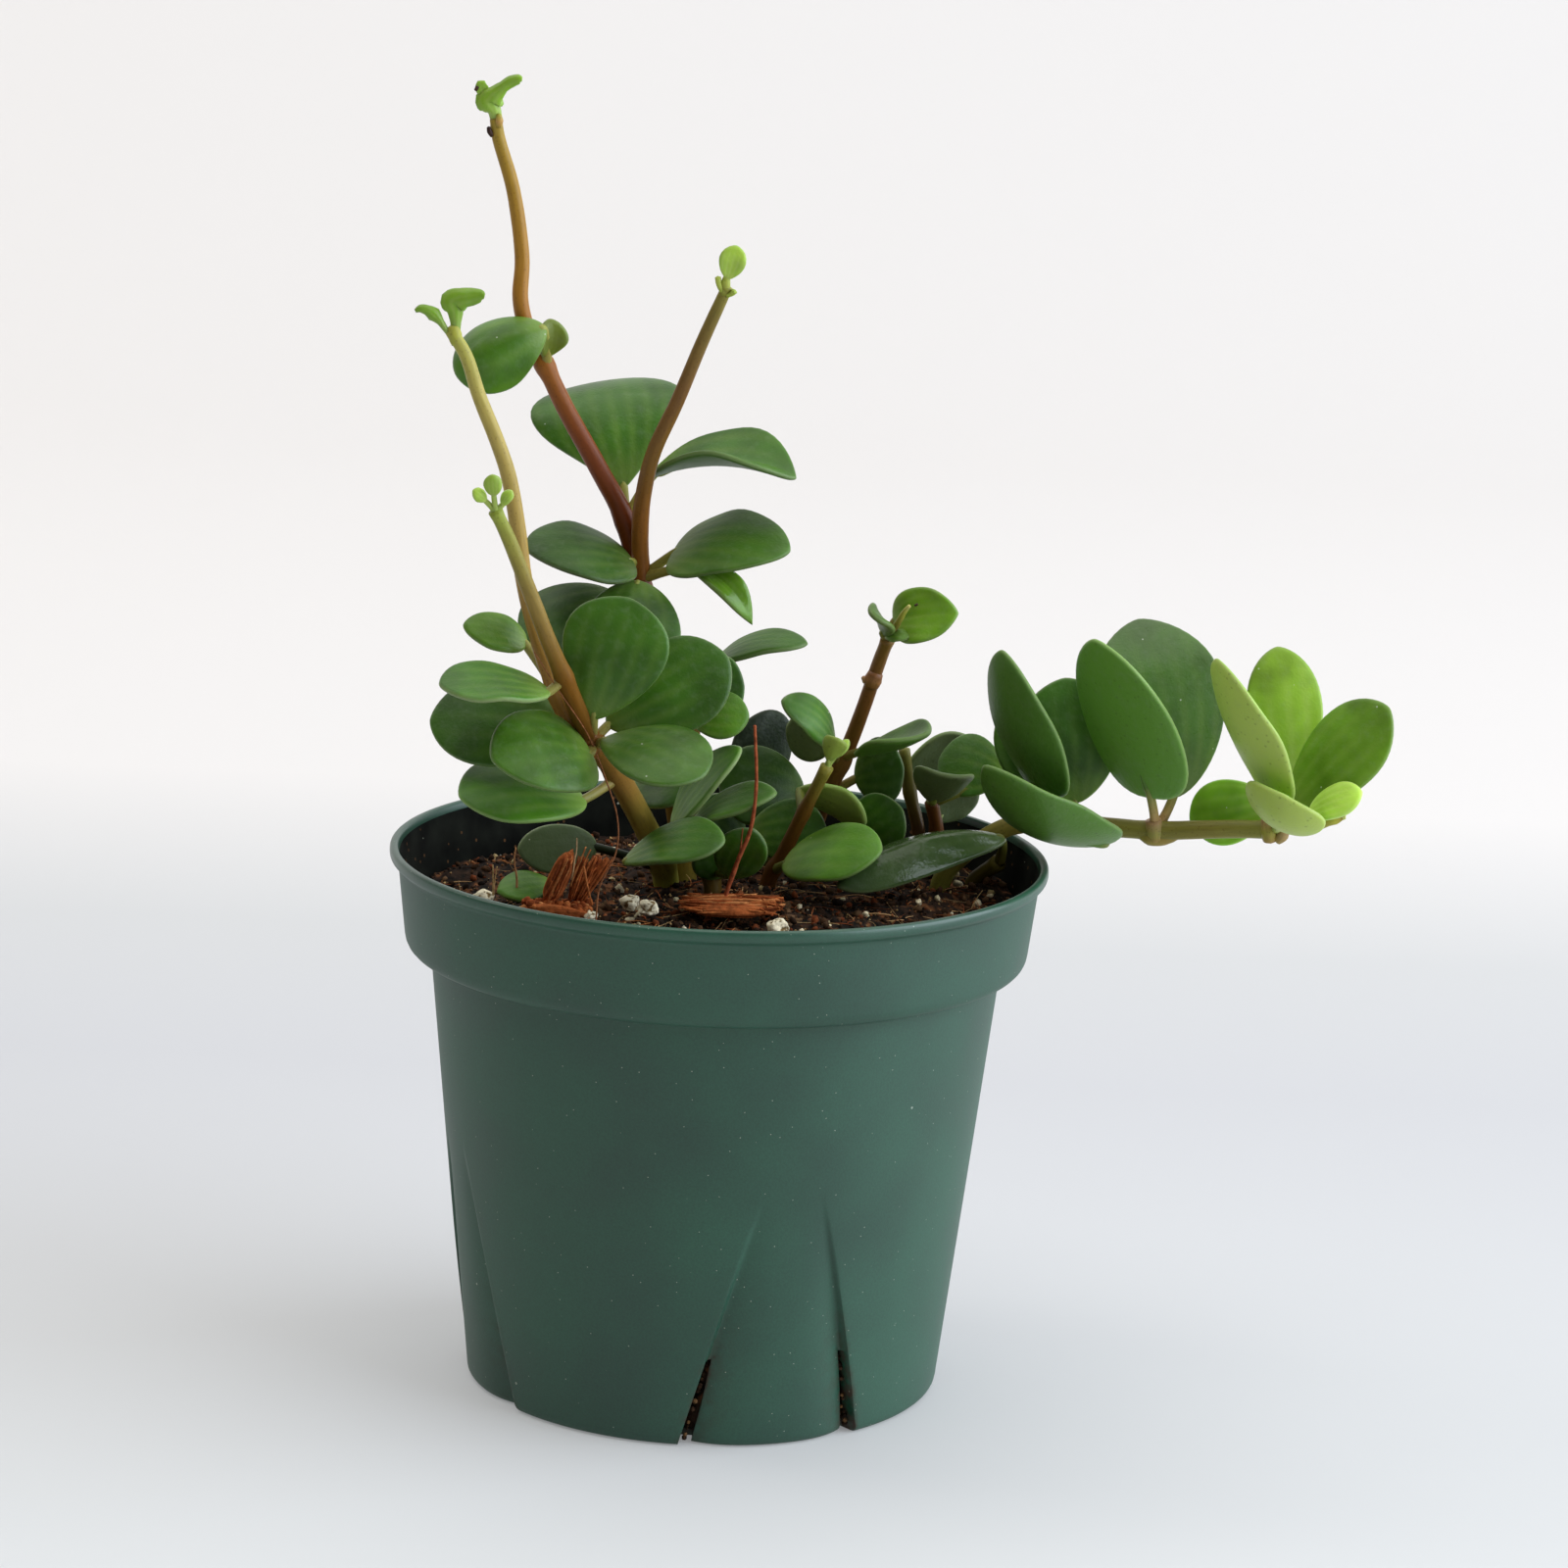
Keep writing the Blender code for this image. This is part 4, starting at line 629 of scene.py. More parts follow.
def leaf_skin():
    """Living peperomia leaf: a thick waxy skin with a broad satin gleam and soft light through its rim.
    Pale veins fan out from its foot, its edge is thin and pale, and below it is greyer, with tiny dark
    glands. Reads the attributes blade (share along, vein number, millimetres from the edge, 1 above and
    0 below) and tone (age, lightness, gloss, and olive over 0 or grey under 0). The lightness scales the
    whole colour: drawn at random for most leaves, and painted light and shade for a leaf given one."""
    made, tree, shader = start_material("leaf_skin", IOR=1.34, Metallic=0.0, Subsurface_Weight=0.12,
                                        Subsurface_Radius=(0.5, 1.0, 0.25), Subsurface_Scale=0.0015)
    place = add(tree, "TexCoord", out="Object")
    blade = add(tree, "Attribute", out=None, attribute_name="blade")
    above = blade["Alpha"]
    along, vein, edge = add(tree, "SeparateXYZ", (blade["Vector"],), out=None)
    tone = add(tree, "Attribute", out=None, attribute_name="tone")
    olive = tone["Alpha"]
    age, lightness_and_painted_shade, gloss = add(tree, "SeparateXYZ", (tone["Vector"],), out=None)
    # Clouds of darker green about 9 mm wide, and a fine mottle of 1.2 mm.
    clouds = add(tree, "TexNoise", {"Vector": place, "Scale": 110.0, "Detail": 3.0})
    mottle = add(tree, "TexNoise", {"Vector": place, "Scale": 800.0, "Detail": 2.0})
    # Veins lie where the vein number is a whole multiple of the spacing, and wander a little.
    wander = add(tree, "Math", (clouds, 0.16, vein), operation="MULTIPLY_ADD")
    between = add(tree, "Math", (wander, VEIN_SPACING / 2), operation="PINGPONG")
    veins = add(tree, "MapRange", (between, 0.0, VEIN_SPACING * 0.42, 1.0, 0.0), **EASED)
    faint = add(tree, "MapRange", (clouds, 0.35, 0.65, 0.35, 1.0))
    fade = add(tree, "MapRange", (along, 0.35, 0.95, 1.0, 0.15))
    for share in (faint, fade):
        veins = add(tree, "Math", (veins, share), operation="MULTIPLY")
    upper, lower, glow = [add(tree, "ValToRGB", (age,), stops=stops)
                          for stops in (UPPER_GREENS, LOWER_GREENS, GLOW_GREENS)]
    # The upper face: darker between the veins and in the clouds, yellower at the foot.
    shade = add(tree, "MapRange", (clouds, 0.3, 0.7, 0.6, 1.25))
    upper = add(tree, "VectorMath", {0: upper, "Scale": shade}, operation="SCALE")
    amount = add(tree, "Math", (veins, 0.3), operation="MULTIPLY")
    foot = add(tree, "MapRange", (along, 0.0, 0.34, 0.62, 0.0), **EASED)
    for share in (amount, foot):
        upper = add(tree, "Mix", {0: share, 6: upper, 7: glow}, **BLEND)
    # The lower face: dark glands about 1.3 mm apart and 0.45 mm wide, coarser than life.
    glands = add(tree, "TexVoronoi", {"Vector": place, "Scale": 750.0})
    glands = add(tree, "MapRange", (glands, 0.12, 0.22, 0.3, 0.0))
    lower = add(tree, "Mix", {0: glands, 6: lower, 7: linear("2f3d1a")}, **BLEND)
    colour = add(tree, "Mix", {0: above, 6: lower, 7: upper}, **BLEND)
    # A few blades are olive-brown, where the value is over 0, and a few are grey, where it is under 0.
    grey = add(tree, "Math", (olive, -1.0), operation="MULTIPLY", use_clamp=True)
    rim = add(tree, "MapRange", (edge, 0.0, 0.3, 0.32, 0.0), **EASED)
    for share, code in ((olive, "6a6020"), (grey, "4c5a3c"), (rim, "8f9c6c")):
        colour = add(tree, "Mix", {0: share, 6: colour, 7: linear(code)}, **BLEND)
    # Each leaf is lighter or darker than the next: at random for most, and by painted light and shade
    # where a leaf is given its light value. Over it lies a thin and patchy grey bloom.
    value = add(tree, "MapRange", (lightness_and_painted_shade, 0.0, 1.0, 0.1, 1.9))
    colour = add(tree, "VectorMath", {0: colour, "Scale": value}, operation="SCALE")
    bloom = add(tree, "MapRange", (mottle, 0.5, 0.8, 0.0, 0.1))
    # Pale specks of dust of 0.3 mm on the upper face, about 4 mm apart.
    specks = speckled(tree, place, 230.0, 0.035)
    for share in (above, 0.6):
        specks = add(tree, "Math", (specks, share), operation="MULTIPLY")
    for share, code in ((bloom, "8c9a82"), (specks, "c8ccbc")):
        colour = add(tree, "Mix", {0: share, 6: colour, 7: linear(code)}, **BLEND)
    rough = add(tree, "MapRange", (gloss, 0.0, 1.0, 0.42, 0.1))
    rough = add(tree, "Math", (mottle, 0.14, rough), operation="MULTIPLY_ADD")
    # Low relief: sunk veins, and a skin of cells drawn at 0.5 mm, coarser than life.
    cells = add(tree, "TexNoise", {"Vector": place, "Scale": 2000.0, "Detail": 1.0})
    relief = add(tree, "Math", (veins, -0.5, cells), operation="MULTIPLY_ADD")
    relief = add(tree, "Math", (clouds, 2.5, relief), operation="MULTIPLY_ADD")
    bump = add(tree, "Bump", {"Strength": 0.35, "Distance": 0.00012, "Height": relief})
    feed(tree, shader, {"Base Color": colour, "Roughness": rough, "Normal": bump})
    return made


def stem_skin():
    """Fleshy stem: a smooth skin whose colour runs from olive to red-brown along it, with fine streaks
    that follow its length and small dark dots. Reads the attributes skin (its colour) and grain (place
    round the stem and, squeezed, along it, in millimetres)."""
    made, tree, shader = start_material("stem_skin", IOR=1.3, Metallic=0.0, Subsurface_Weight=0.1,
                                        Subsurface_Radius=(1.0, 0.6, 0.3), Subsurface_Scale=0.001)
    skin = add(tree, "Attribute", attribute_name="skin")
    grain = add(tree, "Attribute", out="Vector", attribute_name="grain")
    place = add(tree, "TexCoord", out="Object")
    streaks = add(tree, "TexNoise", {"Vector": grain, "Scale": 2.2, "Detail": 4.0})
    shade = add(tree, "MapRange", (streaks, 0.3, 0.7, 0.88, 1.12))
    colour = add(tree, "VectorMath", {0: skin, "Scale": shade}, operation="SCALE")
    dots = add(tree, "TexVoronoi", {"Vector": place, "Scale": 1500.0})
    dots = add(tree, "MapRange", (dots, 0.1, 0.28, 0.3, 0.0))
    colour = add(tree, "Mix", {0: dots, 6: colour, 7: linear("3c1c0a")}, **BLEND)
    rough = add(tree, "MapRange", (streaks, 0.0, 1.0, 0.3, 0.5))
    bump = add(tree, "Bump", {"Strength": 0.2, "Distance": 0.00005, "Height": streaks})
    feed(tree, shader, {"Base Color": colour, "Roughness": rough, "Normal": bump})
    return made


def pot_plastic():
    """Injection-moulded polypropylene, dyed green: a matte satin face from the mould's fine blasted
    grain, with dust, and with soil stains beside the slits. Reads the attribute wear (soil stain, rim)."""
    made, tree, shader = start_material("moulded_polypropylene", IOR=1.54, Metallic=0.0)
    place = add(tree, "TexCoord", out="Object")
    wear = add(tree, "Attribute", out="Vector", attribute_name="wear")
    stained, rim, _ = add(tree, "SeparateXYZ", (wear,), out=None)
    # The mould's grain is about 0.1 mm; it is drawn at 0.35 mm so that it shows.
    grain = add(tree, "TexNoise", {"Vector": place, "Scale": 2800.0, "Detail": 2.0})
    clouds = add(tree, "TexNoise", {"Vector": place, "Scale": 45.0, "Detail": 4.0})
    colour = add(tree, "ValToRGB", (clouds,), stops=((0.3, POT_GREEN_DARK), (0.7, POT_GREEN_LIGHT)))
    shade = add(tree, "MapRange", (grain, 0.25, 0.75, 0.86, 1.14))
    colour = add(tree, "VectorMath", {0: colour, "Scale": shade}, operation="SCALE")
    # Soil rubbed into the plastic by the slits, broken up into patches of 2 mm.
    patches = add(tree, "TexNoise", {"Vector": place, "Scale": 500.0, "Detail": 4.0})
    patches = add(tree, "MapRange", (patches, 0.38, 0.66))
    soiled = add(tree, "Math", (patches, stained), operation="MULTIPLY")
    # Dust: grains of 0.45 mm about 8 mm apart, and specks of 0.2 mm about 1.8 mm apart.
    dust = add(tree, "Math", (speckled(tree, place, 125.0, 0.028), speckled(tree, place, 560.0, 0.05)),
               operation="MAXIMUM")
    dust = add(tree, "Math", (dust, 0.5), operation="MULTIPLY")
    for share, code in ((soiled, "3a2415"), (dust, "b9bfae")):
        colour = add(tree, "Mix", {0: share, 6: colour, 7: linear(code)}, **BLEND)
    rough = add(tree, "MapRange", (clouds, 0.3, 0.7, 0.47, 0.55))
    for share, more in ((rim, -0.16), (soiled, 0.4)):
        rough = add(tree, "Math", (share, more, rough), operation="MULTIPLY_ADD")
    bump = add(tree, "Bump", {"Strength": 0.3, "Distance": 0.00005, "Height": grain})
    feed(tree, shader, {"Base Color": colour, "Roughness": rough, "Normal": bump})
    return made


def inside_film_and_painted_shade():
    """The film of peat and lime that watering leaves inside the pot, near black and matte: partly that
    real dirt and partly painted shade for the dim inside of the pot. It has brown specks of 0.6 mm and
    pale ones of 0.4 mm."""
    made, tree, shader = start_material("inside_film_and_painted_shade", IOR=1.4, Roughness=0.85, Specular_IOR_Level=0.12)
    place = add(tree, "TexCoord", out="Object")
    patches = add(tree, "TexNoise", {"Vector": place, "Scale": 160.0, "Detail": 5.0})
    # Near black to dark grey-green: the dirt film with painted shade.
    colour = add(tree, "ValToRGB", (patches,), stops=((0.35, "070806"), (0.75, "1f221c")))
    for scale, size, code in ((420.0, 0.12, "5a4028"), (300.0, 0.06, "a8ac9c")):
        specks = speckled(tree, place, scale, size)
        colour = add(tree, "Mix", {0: specks, 6: colour, 7: linear(code)}, **BLEND)
    feed(tree, shader, {"Base Color": colour})
    return made


def loose_matter(name, low, high, size, rough, relief):
    """Dry loose matter, such as peat, husk or perlite: matte, with patches of the given size in
    millimetres, low to high in lightness, and a fine gritty relief. It multiplies the attribute tint,
    each lump's own colour."""
    made, tree, shader = start_material(name, IOR=1.45, Roughness=rough, Specular_IOR_Level=0.15)
    place = add(tree, "TexCoord", out="Object")
    tint = add(tree, "Attribute", attribute_name="tint")
    patches = add(tree, "TexNoise", {"Vector": place, "Scale": 1000 / size, "Detail": 5.0})
    shade = add(tree, "MapRange", (patches, 0.3, 0.7, low, high))
    colour = add(tree, "VectorMath", {0: tint, "Scale": shade}, operation="SCALE")
    grit = add(tree, "TexNoise", {"Vector": place, "Scale": 2500.0, "Detail": 3.0})
    bump = add(tree, "Bump", {"Strength": relief, "Distance": 0.0002, "Height": grit})
    feed(tree, shader, {"Base Color": colour, "Normal": bump})
    return made


# Leafy stems

def direction(heading, lift):
    """The unit vector with that heading and lift in degrees."""
    turn, rise = math.radians(heading), math.radians(lift)
    return np.array([math.cos(turn) * math.cos(rise), math.sin(turn) * math.cos(rise), math.sin(rise)])


def half_width(s, wedge, point):
    """Half the blade's width at s along it, as a share of its widest: a stretched circle, narrowed
    towards the foot, and raised to a power near the tip to bring it to a point."""
    shifted = s ** (1.1 + 0.45 * wedge)
    narrowing = max(0.0, 0.2 + 0.35 * wedge)
    circle = np.sqrt(np.maximum(4 * shifted * (1 - shifted), 0)) ** (1 + point * s ** 4)
    return circle * (1 - narrowing * (1 - s) ** 2)


def blade_surface(leaf, more):
    """The blade's middle surface as a function of s along and a across. Out of its chord it rises by
    arch * length * 4s(1 - s) + cup * width/2 * a^2, plus a fold |a|, waves along the margins, and a
    curl of the tip that grows with (s - 0.55)^2; side bends the midrib and twist turns the blade
    about it."""
    foot, tip, width, face, arch, cup = leaf[2:8]
    along = np.subtract(tip, foot).astype(float)
    length = np.linalg.norm(along)
    along /= length
    up = direction(*face)
    up = unit(up - up @ along * along)
    across = np.cross(up, along)

    def surface(s, a):
        rise = arch * length * 4 * s * (1 - s) + cup * width / 2 * a ** 2
        rise += more.get("fold", 0.0) * width / 2 * (np.sqrt(a ** 2 + 0.02) - 0.14)
        rise += more.get("wave", 0.0) * a * np.abs(a) * np.sin(2 * np.pi * (WAVES * s + 0.15))
        rise += more.get("ripple", 0.0) * a ** 2 * np.sin(2 * np.pi * (RIPPLES * s + more.get("phase", 0.0)))
        rise -= more.get("curl", 0.0) * length * np.maximum(s - 0.55, 0) ** 2 * 4
        aside = a * width / 2
        turn = np.radians(more.get("twist", 0.0)) * (s - 0.2)
        out = aside * np.cos(turn) - rise * np.sin(turn) + more.get("side", 0.0) * length * 4 * s * (1 - s)
        lift = aside * np.sin(turn) + rise * np.cos(turn)
        return foot + (s * length)[..., None] * along + out[..., None] * across + lift[..., None] * up

    return surface


def blade_normal(surface, s, a):
    """Points of a blade's middle surface at s along and a across, and the unit normals there."""
    middle = surface(s, a)
    return middle, unit(np.cross(surface(s + SURFACE_STEP, a) - middle,
                                 surface(s, a + SURFACE_STEP) - middle))


def blade_shell(leaf, more, lightness_and_painted_shade):
    """A closed blade: rings from the middle of the upper face out to its edge, round the edge in a half
    circle and back below. Its half thickness swells a little towards the middle."""
    width, wedge, age = leaf[4], leaf[8], leaf[9]
    small = width < SMALL_BLADE
    columns = YOUNG_BLADE_COLUMNS if small else BLADE_COLUMNS
    thickness = YOUNG_BLADE_THICKNESS if small else BLADE_THICKNESS
    surface = blade_surface(leaf, more)
    turn = np.arange(columns) * 2 * np.pi / columns
    s_edge = (1 - np.cos(turn)) / 2
    a_edge = np.sign(np.round(np.sin(turn), 6)) * half_width(s_edge, wedge, more.get("point", 0.25))
    rounding = min(EDGE_ROUND, width / 6) / (width / 2)
    flat = np.linspace(0, 1, 5 if small else 10)[1:]
    bend = np.linspace(0, np.pi, 7)[1:-1]
    reach = np.concatenate([flat * (1 - rounding), 1 - rounding * (1 - np.sin(bend)),
                            flat[::-1] * (1 - rounding)])
    height = np.concatenate([np.ones(len(flat)), np.cos(bend), -np.ones(len(flat))])
    inset = (1 - reach) * width / 2
    s = 0.5 + reach[:, None] * (s_edge - 0.5)
    a = reach[:, None] * a_edge
    swell = height * thickness / 2 * (0.85 + 0.3 * (1 - reach ** 2))
    middle, normal = blade_normal(surface, s, a)
    rings = middle + swell[:, None, None] * normal
    core, core_normal = blade_normal(surface, np.array([0.5]), np.array([0.0]))
    poles = [core + sign * thickness / 2 * 1.15 * core_normal for sign in (1, -1)]
    fan = a / (0.14 + np.maximum(s, 0) ** 0.6 * (1 - 0.5 * s ** 2))
    fan *= width / 16 if width > 12 else 1.0
    above = np.clip(height * 1.6 + 0.5, 0, 1)
    shape = s.shape
    blade = np.stack([s, fan, *(np.broadcast_to(part[:, None], shape) for part in (inset, above))], -1)
    tone = np.array([age, lightness_and_painted_shade, more.get("gloss", 0.25), more.get("olive", 0.0) - more.get("grey", 0.0)])
    return ringed(rings, poles[0], poles[1], 0, blade=blade_data(blade), tone=spread(tone, *shape))


def blade_data(values):
    """An attribute of a blade's rings, with the poles given the values of the middle of the blade."""
    flat = values.reshape(-1, values.shape[-1])
    first, last = flat[0].copy(), flat[-1].copy()
    first[:2] = last[:2] = (0.5, 0.0)
    return np.vstack([first, flat, last])


def stem_colours(codes, count):
    """Colours along a stem, evenly blended between the given hex colours from its foot to its tip."""
    known = np.array([linear(code) for code in codes])
    share = np.linspace(0, len(known) - 1, count)
    whole = np.minimum(share.astype(int), len(known) - 2)
    return known[whole] + (share - whole)[:, None] * (known[whole + 1] - known[whole])


def stem_shell(route, radii, sides, codes):
    """A stem or stalk: a tube with its colour and its grain. The grain is the place on the tube's round,
    with the way along it squeezed to an eighth so that the pattern runs in streaks."""
    rings, turn = tube_rings(route, radii, sides)
    steps = np.linalg.norm(np.diff(route, axis=0), axis=1)
    run = np.concatenate([[0.0], np.cumsum(steps)])
    count = len(route)
    skin = stem_colours(codes, count)[:, None, :]
    round_x = np.broadcast_to(np.cos(turn) * radii[:, None], (count, sides))
    round_y = np.broadcast_to(np.sin(turn) * radii[:, None], (count, sides))
    grain = np.stack([round_x, round_y, np.broadcast_to(run[:, None] / 8, (count, sides)), round_x * 0], -1)
    tip = route[-1] + radii[-1] * 0.5 * unit(route[-1] - route[-2])
    return ringed(rings, route[0], tip, 1, skin=spread(skin, count, sides), grain=spread(grain, count, sides))


def shoot_shell(shoot, places, codes):
    """A shoot: its radius runs from foot to tip, and swells at each leaf as at a node of the stem."""
    foot_radius, tip_radius, points = shoot
    route = smooth_route(points, 7)
    share = np.linspace(0, 1, len(route))
    radii = foot_radius + (tip_radius - foot_radius) * share
    length = np.sum(np.linalg.norm(np.diff(route, axis=0), axis=1))
    for place in sorted(set(places)):
        away = (share - place / (len(points) - 1)) * length
        radii = radii * (1 + NODE_SWELL * np.exp(-(away / NODE_REACH) ** 2))
    radii = radii * (1 + 0.03 * noise(route, 3.0, seed=5))
    return stem_shell(route, radii, STEM_SIDES, codes)


def stalk_shell(leaf, more, shoots, codes):
    """A leaf stalk: from the middle of its shoot to the blade's foot, then along below the midrib as a
    keel that thins out by a sixth of the blade."""
    shoot, place, foot = leaf[:3]
    points = np.array(shoots[shoot][2], float)
    whole = min(int(place), len(points) - 2)
    start = points[whole] + (place - whole) * (points[whole + 1] - points[whole])
    surface = blade_surface(leaf, more)
    s = np.array([0.03, 0.09, 0.17])
    middle, normal = blade_normal(surface, s, 0 * s)
    small = leaf[4] < SMALL_BLADE
    thickness = YOUNG_BLADE_THICKNESS if small else BLADE_THICKNESS
    keel = middle - normal * thickness * np.array([[0.1], [0.25], [0.3]])
    bend = start + 0.55 * (np.array(foot, float) - start)
    route = smooth_route([start, bend, *keel], 4)
    radius = YOUNG_STALK_RADIUS if small else STALK_RADIUS
    share = np.linspace(0, 1, len(route))
    radii = radius * np.interp(share, [0, 0.2, 0.45, 0.7, 1], [1.35, 1.0, 0.95, 0.8, 0.3])
    return stem_shell(route, radii, STALK_SIDES, codes)


def young_shell(points, halves, cup, light, age):
    """A young leaf still half folded: a tube flattened across the view, with a half width for each
    point, whose edges bend back by cup * half * cos^2."""
    route = smooth_route(points, 5)
    share = np.linspace(0, 1, len(route))
    half = np.interp(share, np.linspace(0, 1, len(halves)), halves)[:, None, None]
    tangents = unit(np.gradient(route, axis=0))
    side = unit(np.cross(tangents, (0.0, -1.0, 0.2)))[:, None, :]
    other = np.cross(tangents, side[:, 0])[:, None, :]
    turn = (np.arange(24) * 2 * np.pi / 24)[None, :, None]
    thick = np.minimum(half, 0.4)
    depth = thick * np.sin(turn) + cup * half * np.cos(turn) ** 2
    rings = route[:, None, :] + half * np.cos(turn) * side + depth * other
    shape = rings.shape[:2]
    edge = (half * (1 - np.abs(np.cos(turn))))[..., 0]
    near = np.broadcast_to(np.sin(turn[..., 0]) < 0.01, shape)
    along = np.broadcast_to(share[:, None], shape)
    fan = np.broadcast_to(np.cos(turn[..., 0]) * 0.8, shape)
    blade = np.stack([along, fan, edge, near], -1)
    # light is the young blade's lightness: painted light and shade.
    tone = spread(np.array([age, light, 0.6, 0.0]), *shape)
    return ringed(rings, route[0], route[-1], 0, blade=blade_data(blade), tone=tone)


def knot_shell(points, radii, codes):
    """A knot, bud, scar or stub of a stem: a short thick tube with a radius for each point."""
    route = smooth_route(points, 4)
    share = np.linspace(0, 1, len(route))
    radii = np.interp(share, np.linspace(0, 1, len(radii)), radii)
    radii = radii * (1 + 0.1 * noise(route, 1.1, seed=8))
    return stem_shell(route, radii, STEM_SIDES, codes)


def add_leafy_stem(name, plan, materials):
    """The piece that stands for one leafy stem: its shoots, stalks and blades."""
    draw = np.random.default_rng(sum(map(ord, name)))
    shells = []
    for number, shoot in enumerate(plan["shoots"]):
        places = [leaf[1] for leaf in plan["leaves"] if leaf[0] == number]
        shells.append(shoot_shell(shoot, places, plan["stems"][number]))
    for leaf in plan["leaves"]:
        more = {"wave": draw.uniform(-0.35, 0.35), "phase": draw.uniform(0, 1),
                "ripple": draw.uniform(0, 0.18), "side": draw.uniform(-0.02, 0.02)}
        more.update(leaf[10] if len(leaf) > 10 else {})
        # A leaf's lightness: its given light value, which is painted light and shade on that blade, or else a
        # random draw.
        lightness_and_painted_shade = more.get("light", draw.uniform(0.38, 0.62))
        young = leaf[9] >= YOUNG_AGE
        codes = more.get("stalk", YOUNG_STALK if young else plan["stalk"])
        shells.append(stalk_shell(leaf, more, plan["shoots"], codes))
        shells.append(blade_shell(leaf, more, lightness_and_painted_shade))
    shells += [young_shell(*young) for young in plan.get("young", ())]
    shells += [knot_shell(*knot) for knot in plan.get("knots", ())]
    return build(name + "_leaves", shells, materials, stands_for=[name])


# Pot

def body_radius(z):
    """The body's outer radius at height z."""
    return BODY_RADIUS_FOOT + (BODY_RADIUS_TOP - BODY_RADIUS_FOOT) * z / BAND_FOOT_Z


def panel_half(z):
    """Half the angle that a panel spans at height z, in degrees."""
    return np.interp(z, [0.0, PANEL_TOP_Z], [PANEL_HALF_FOOT, PANEL_HALF_TOP])


def rounded(profile):
    """A profile of (radius, z, corner round) as a dense line: each corner is a quadratic Bezier curve
    that starts and ends its round away from it, and long straights are split."""
    corners = np.array(profile, float)
    line = [corners[0, :2]]
    for before, corner, after in zip(corners, corners[1:], corners[2:]):
        arms = [before[:2] - corner[:2], after[:2] - corner[:2]]
        reach = [min(corner[2], 0.45 * np.linalg.norm(arm)) / max(np.linalg.norm(arm), 1e-9) for arm in arms]
        start, end = corner[:2] + arms[0] * reach[0], corner[:2] + arms[1] * reach[1]
        for t in np.linspace(0, 1, 6 if corner[2] else 1):
            line.append((1 - t) ** 2 * start + 2 * t * (1 - t) * corner[:2] + t ** 2 * end)
    line.append(corners[-1, :2])
    dense = [line[0]]
    for start, end in zip(line, line[1:]):
        parts = max(1, math.ceil(np.linalg.norm(end - start) / RING_SPACING))
        dense += [start + (end - start) * part / parts for part in range(1, parts + 1)]
    return np.array(dense)


def wall_rings(profile, spread_angle=0.0):
    """Rings of the wall for a profile of (radius, z). The columns follow the panels' creases, so each
    ring has its own angles. A panel is deepest at the foot and fades out at its top. Its middle bulges
    back out to the wall's round, as |place across| ** PANEL_BULGE."""
    radius, z = profile[:, 0], profile[:, 1]
    half = panel_half(z) + spread_angle
    depth = PANEL_DEPTH * np.maximum(0.0, 1 - z / PANEL_TOP_Z)
    beyond, share = np.array(CREASE).T
    inside = np.linspace(-1, 1, PANEL_COLUMNS)[1:-1]
    quarter = 360 / PANEL_COUNT
    angles, depths = [], []
    for panel in range(PANEL_COUNT):
        middle = PANEL_TURN + panel * quarter
        crease = half[:, None] + beyond
        sunk = depth[:, None] * share
        plain = np.linspace(half + beyond[0], quarter - half - beyond[0], WALL_COLUMNS, axis=1)[:, 1:-1]
        floor = (half + beyond[-1])[:, None] * inside
        angles += [middle - crease, middle + floor, middle + crease[:, ::-1], middle + plain]
        bulged = depth[:, None] * np.abs(inside) ** PANEL_BULGE
        depths += [sunk, bulged, sunk[:, ::-1], 0 * plain]
    turn = np.radians(np.concatenate(angles, axis=1))
    reach = radius[:, None] - np.concatenate(depths, axis=1)
    height = np.broadcast_to(z[:, None], reach.shape)
    return np.stack([reach * np.sin(turn), -reach * np.cos(turn), height], -1)


def slit_turn(panel, side, z):
    """The turn, in radians, of the slit at side 0 or 1 of a panel at height z."""
    edge = (2 * side - 1) * (panel_half(z) - PANEL_STEP)
    return math.radians(PANEL_TURN + panel * 360 / PANEL_COUNT + edge)


def stain(rings):
    """How much soil is rubbed into the wall: most beside a slit and low down, on the panel's side."""
    angle = np.degrees(np.arctan2(rings[..., 0], -rings[..., 1])) - PANEL_TURN
    quarter = 360 / PANEL_COUNT
    angle = np.abs((angle + quarter / 2) % quarter - quarter / 2)
    off = panel_half(rings[..., 2]) - angle
    near = np.where(off > 0, np.exp(-off / 3.2), np.exp(off / 0.7))
    return near * np.clip((26 - rings[..., 2]) / 20, 0, 1)


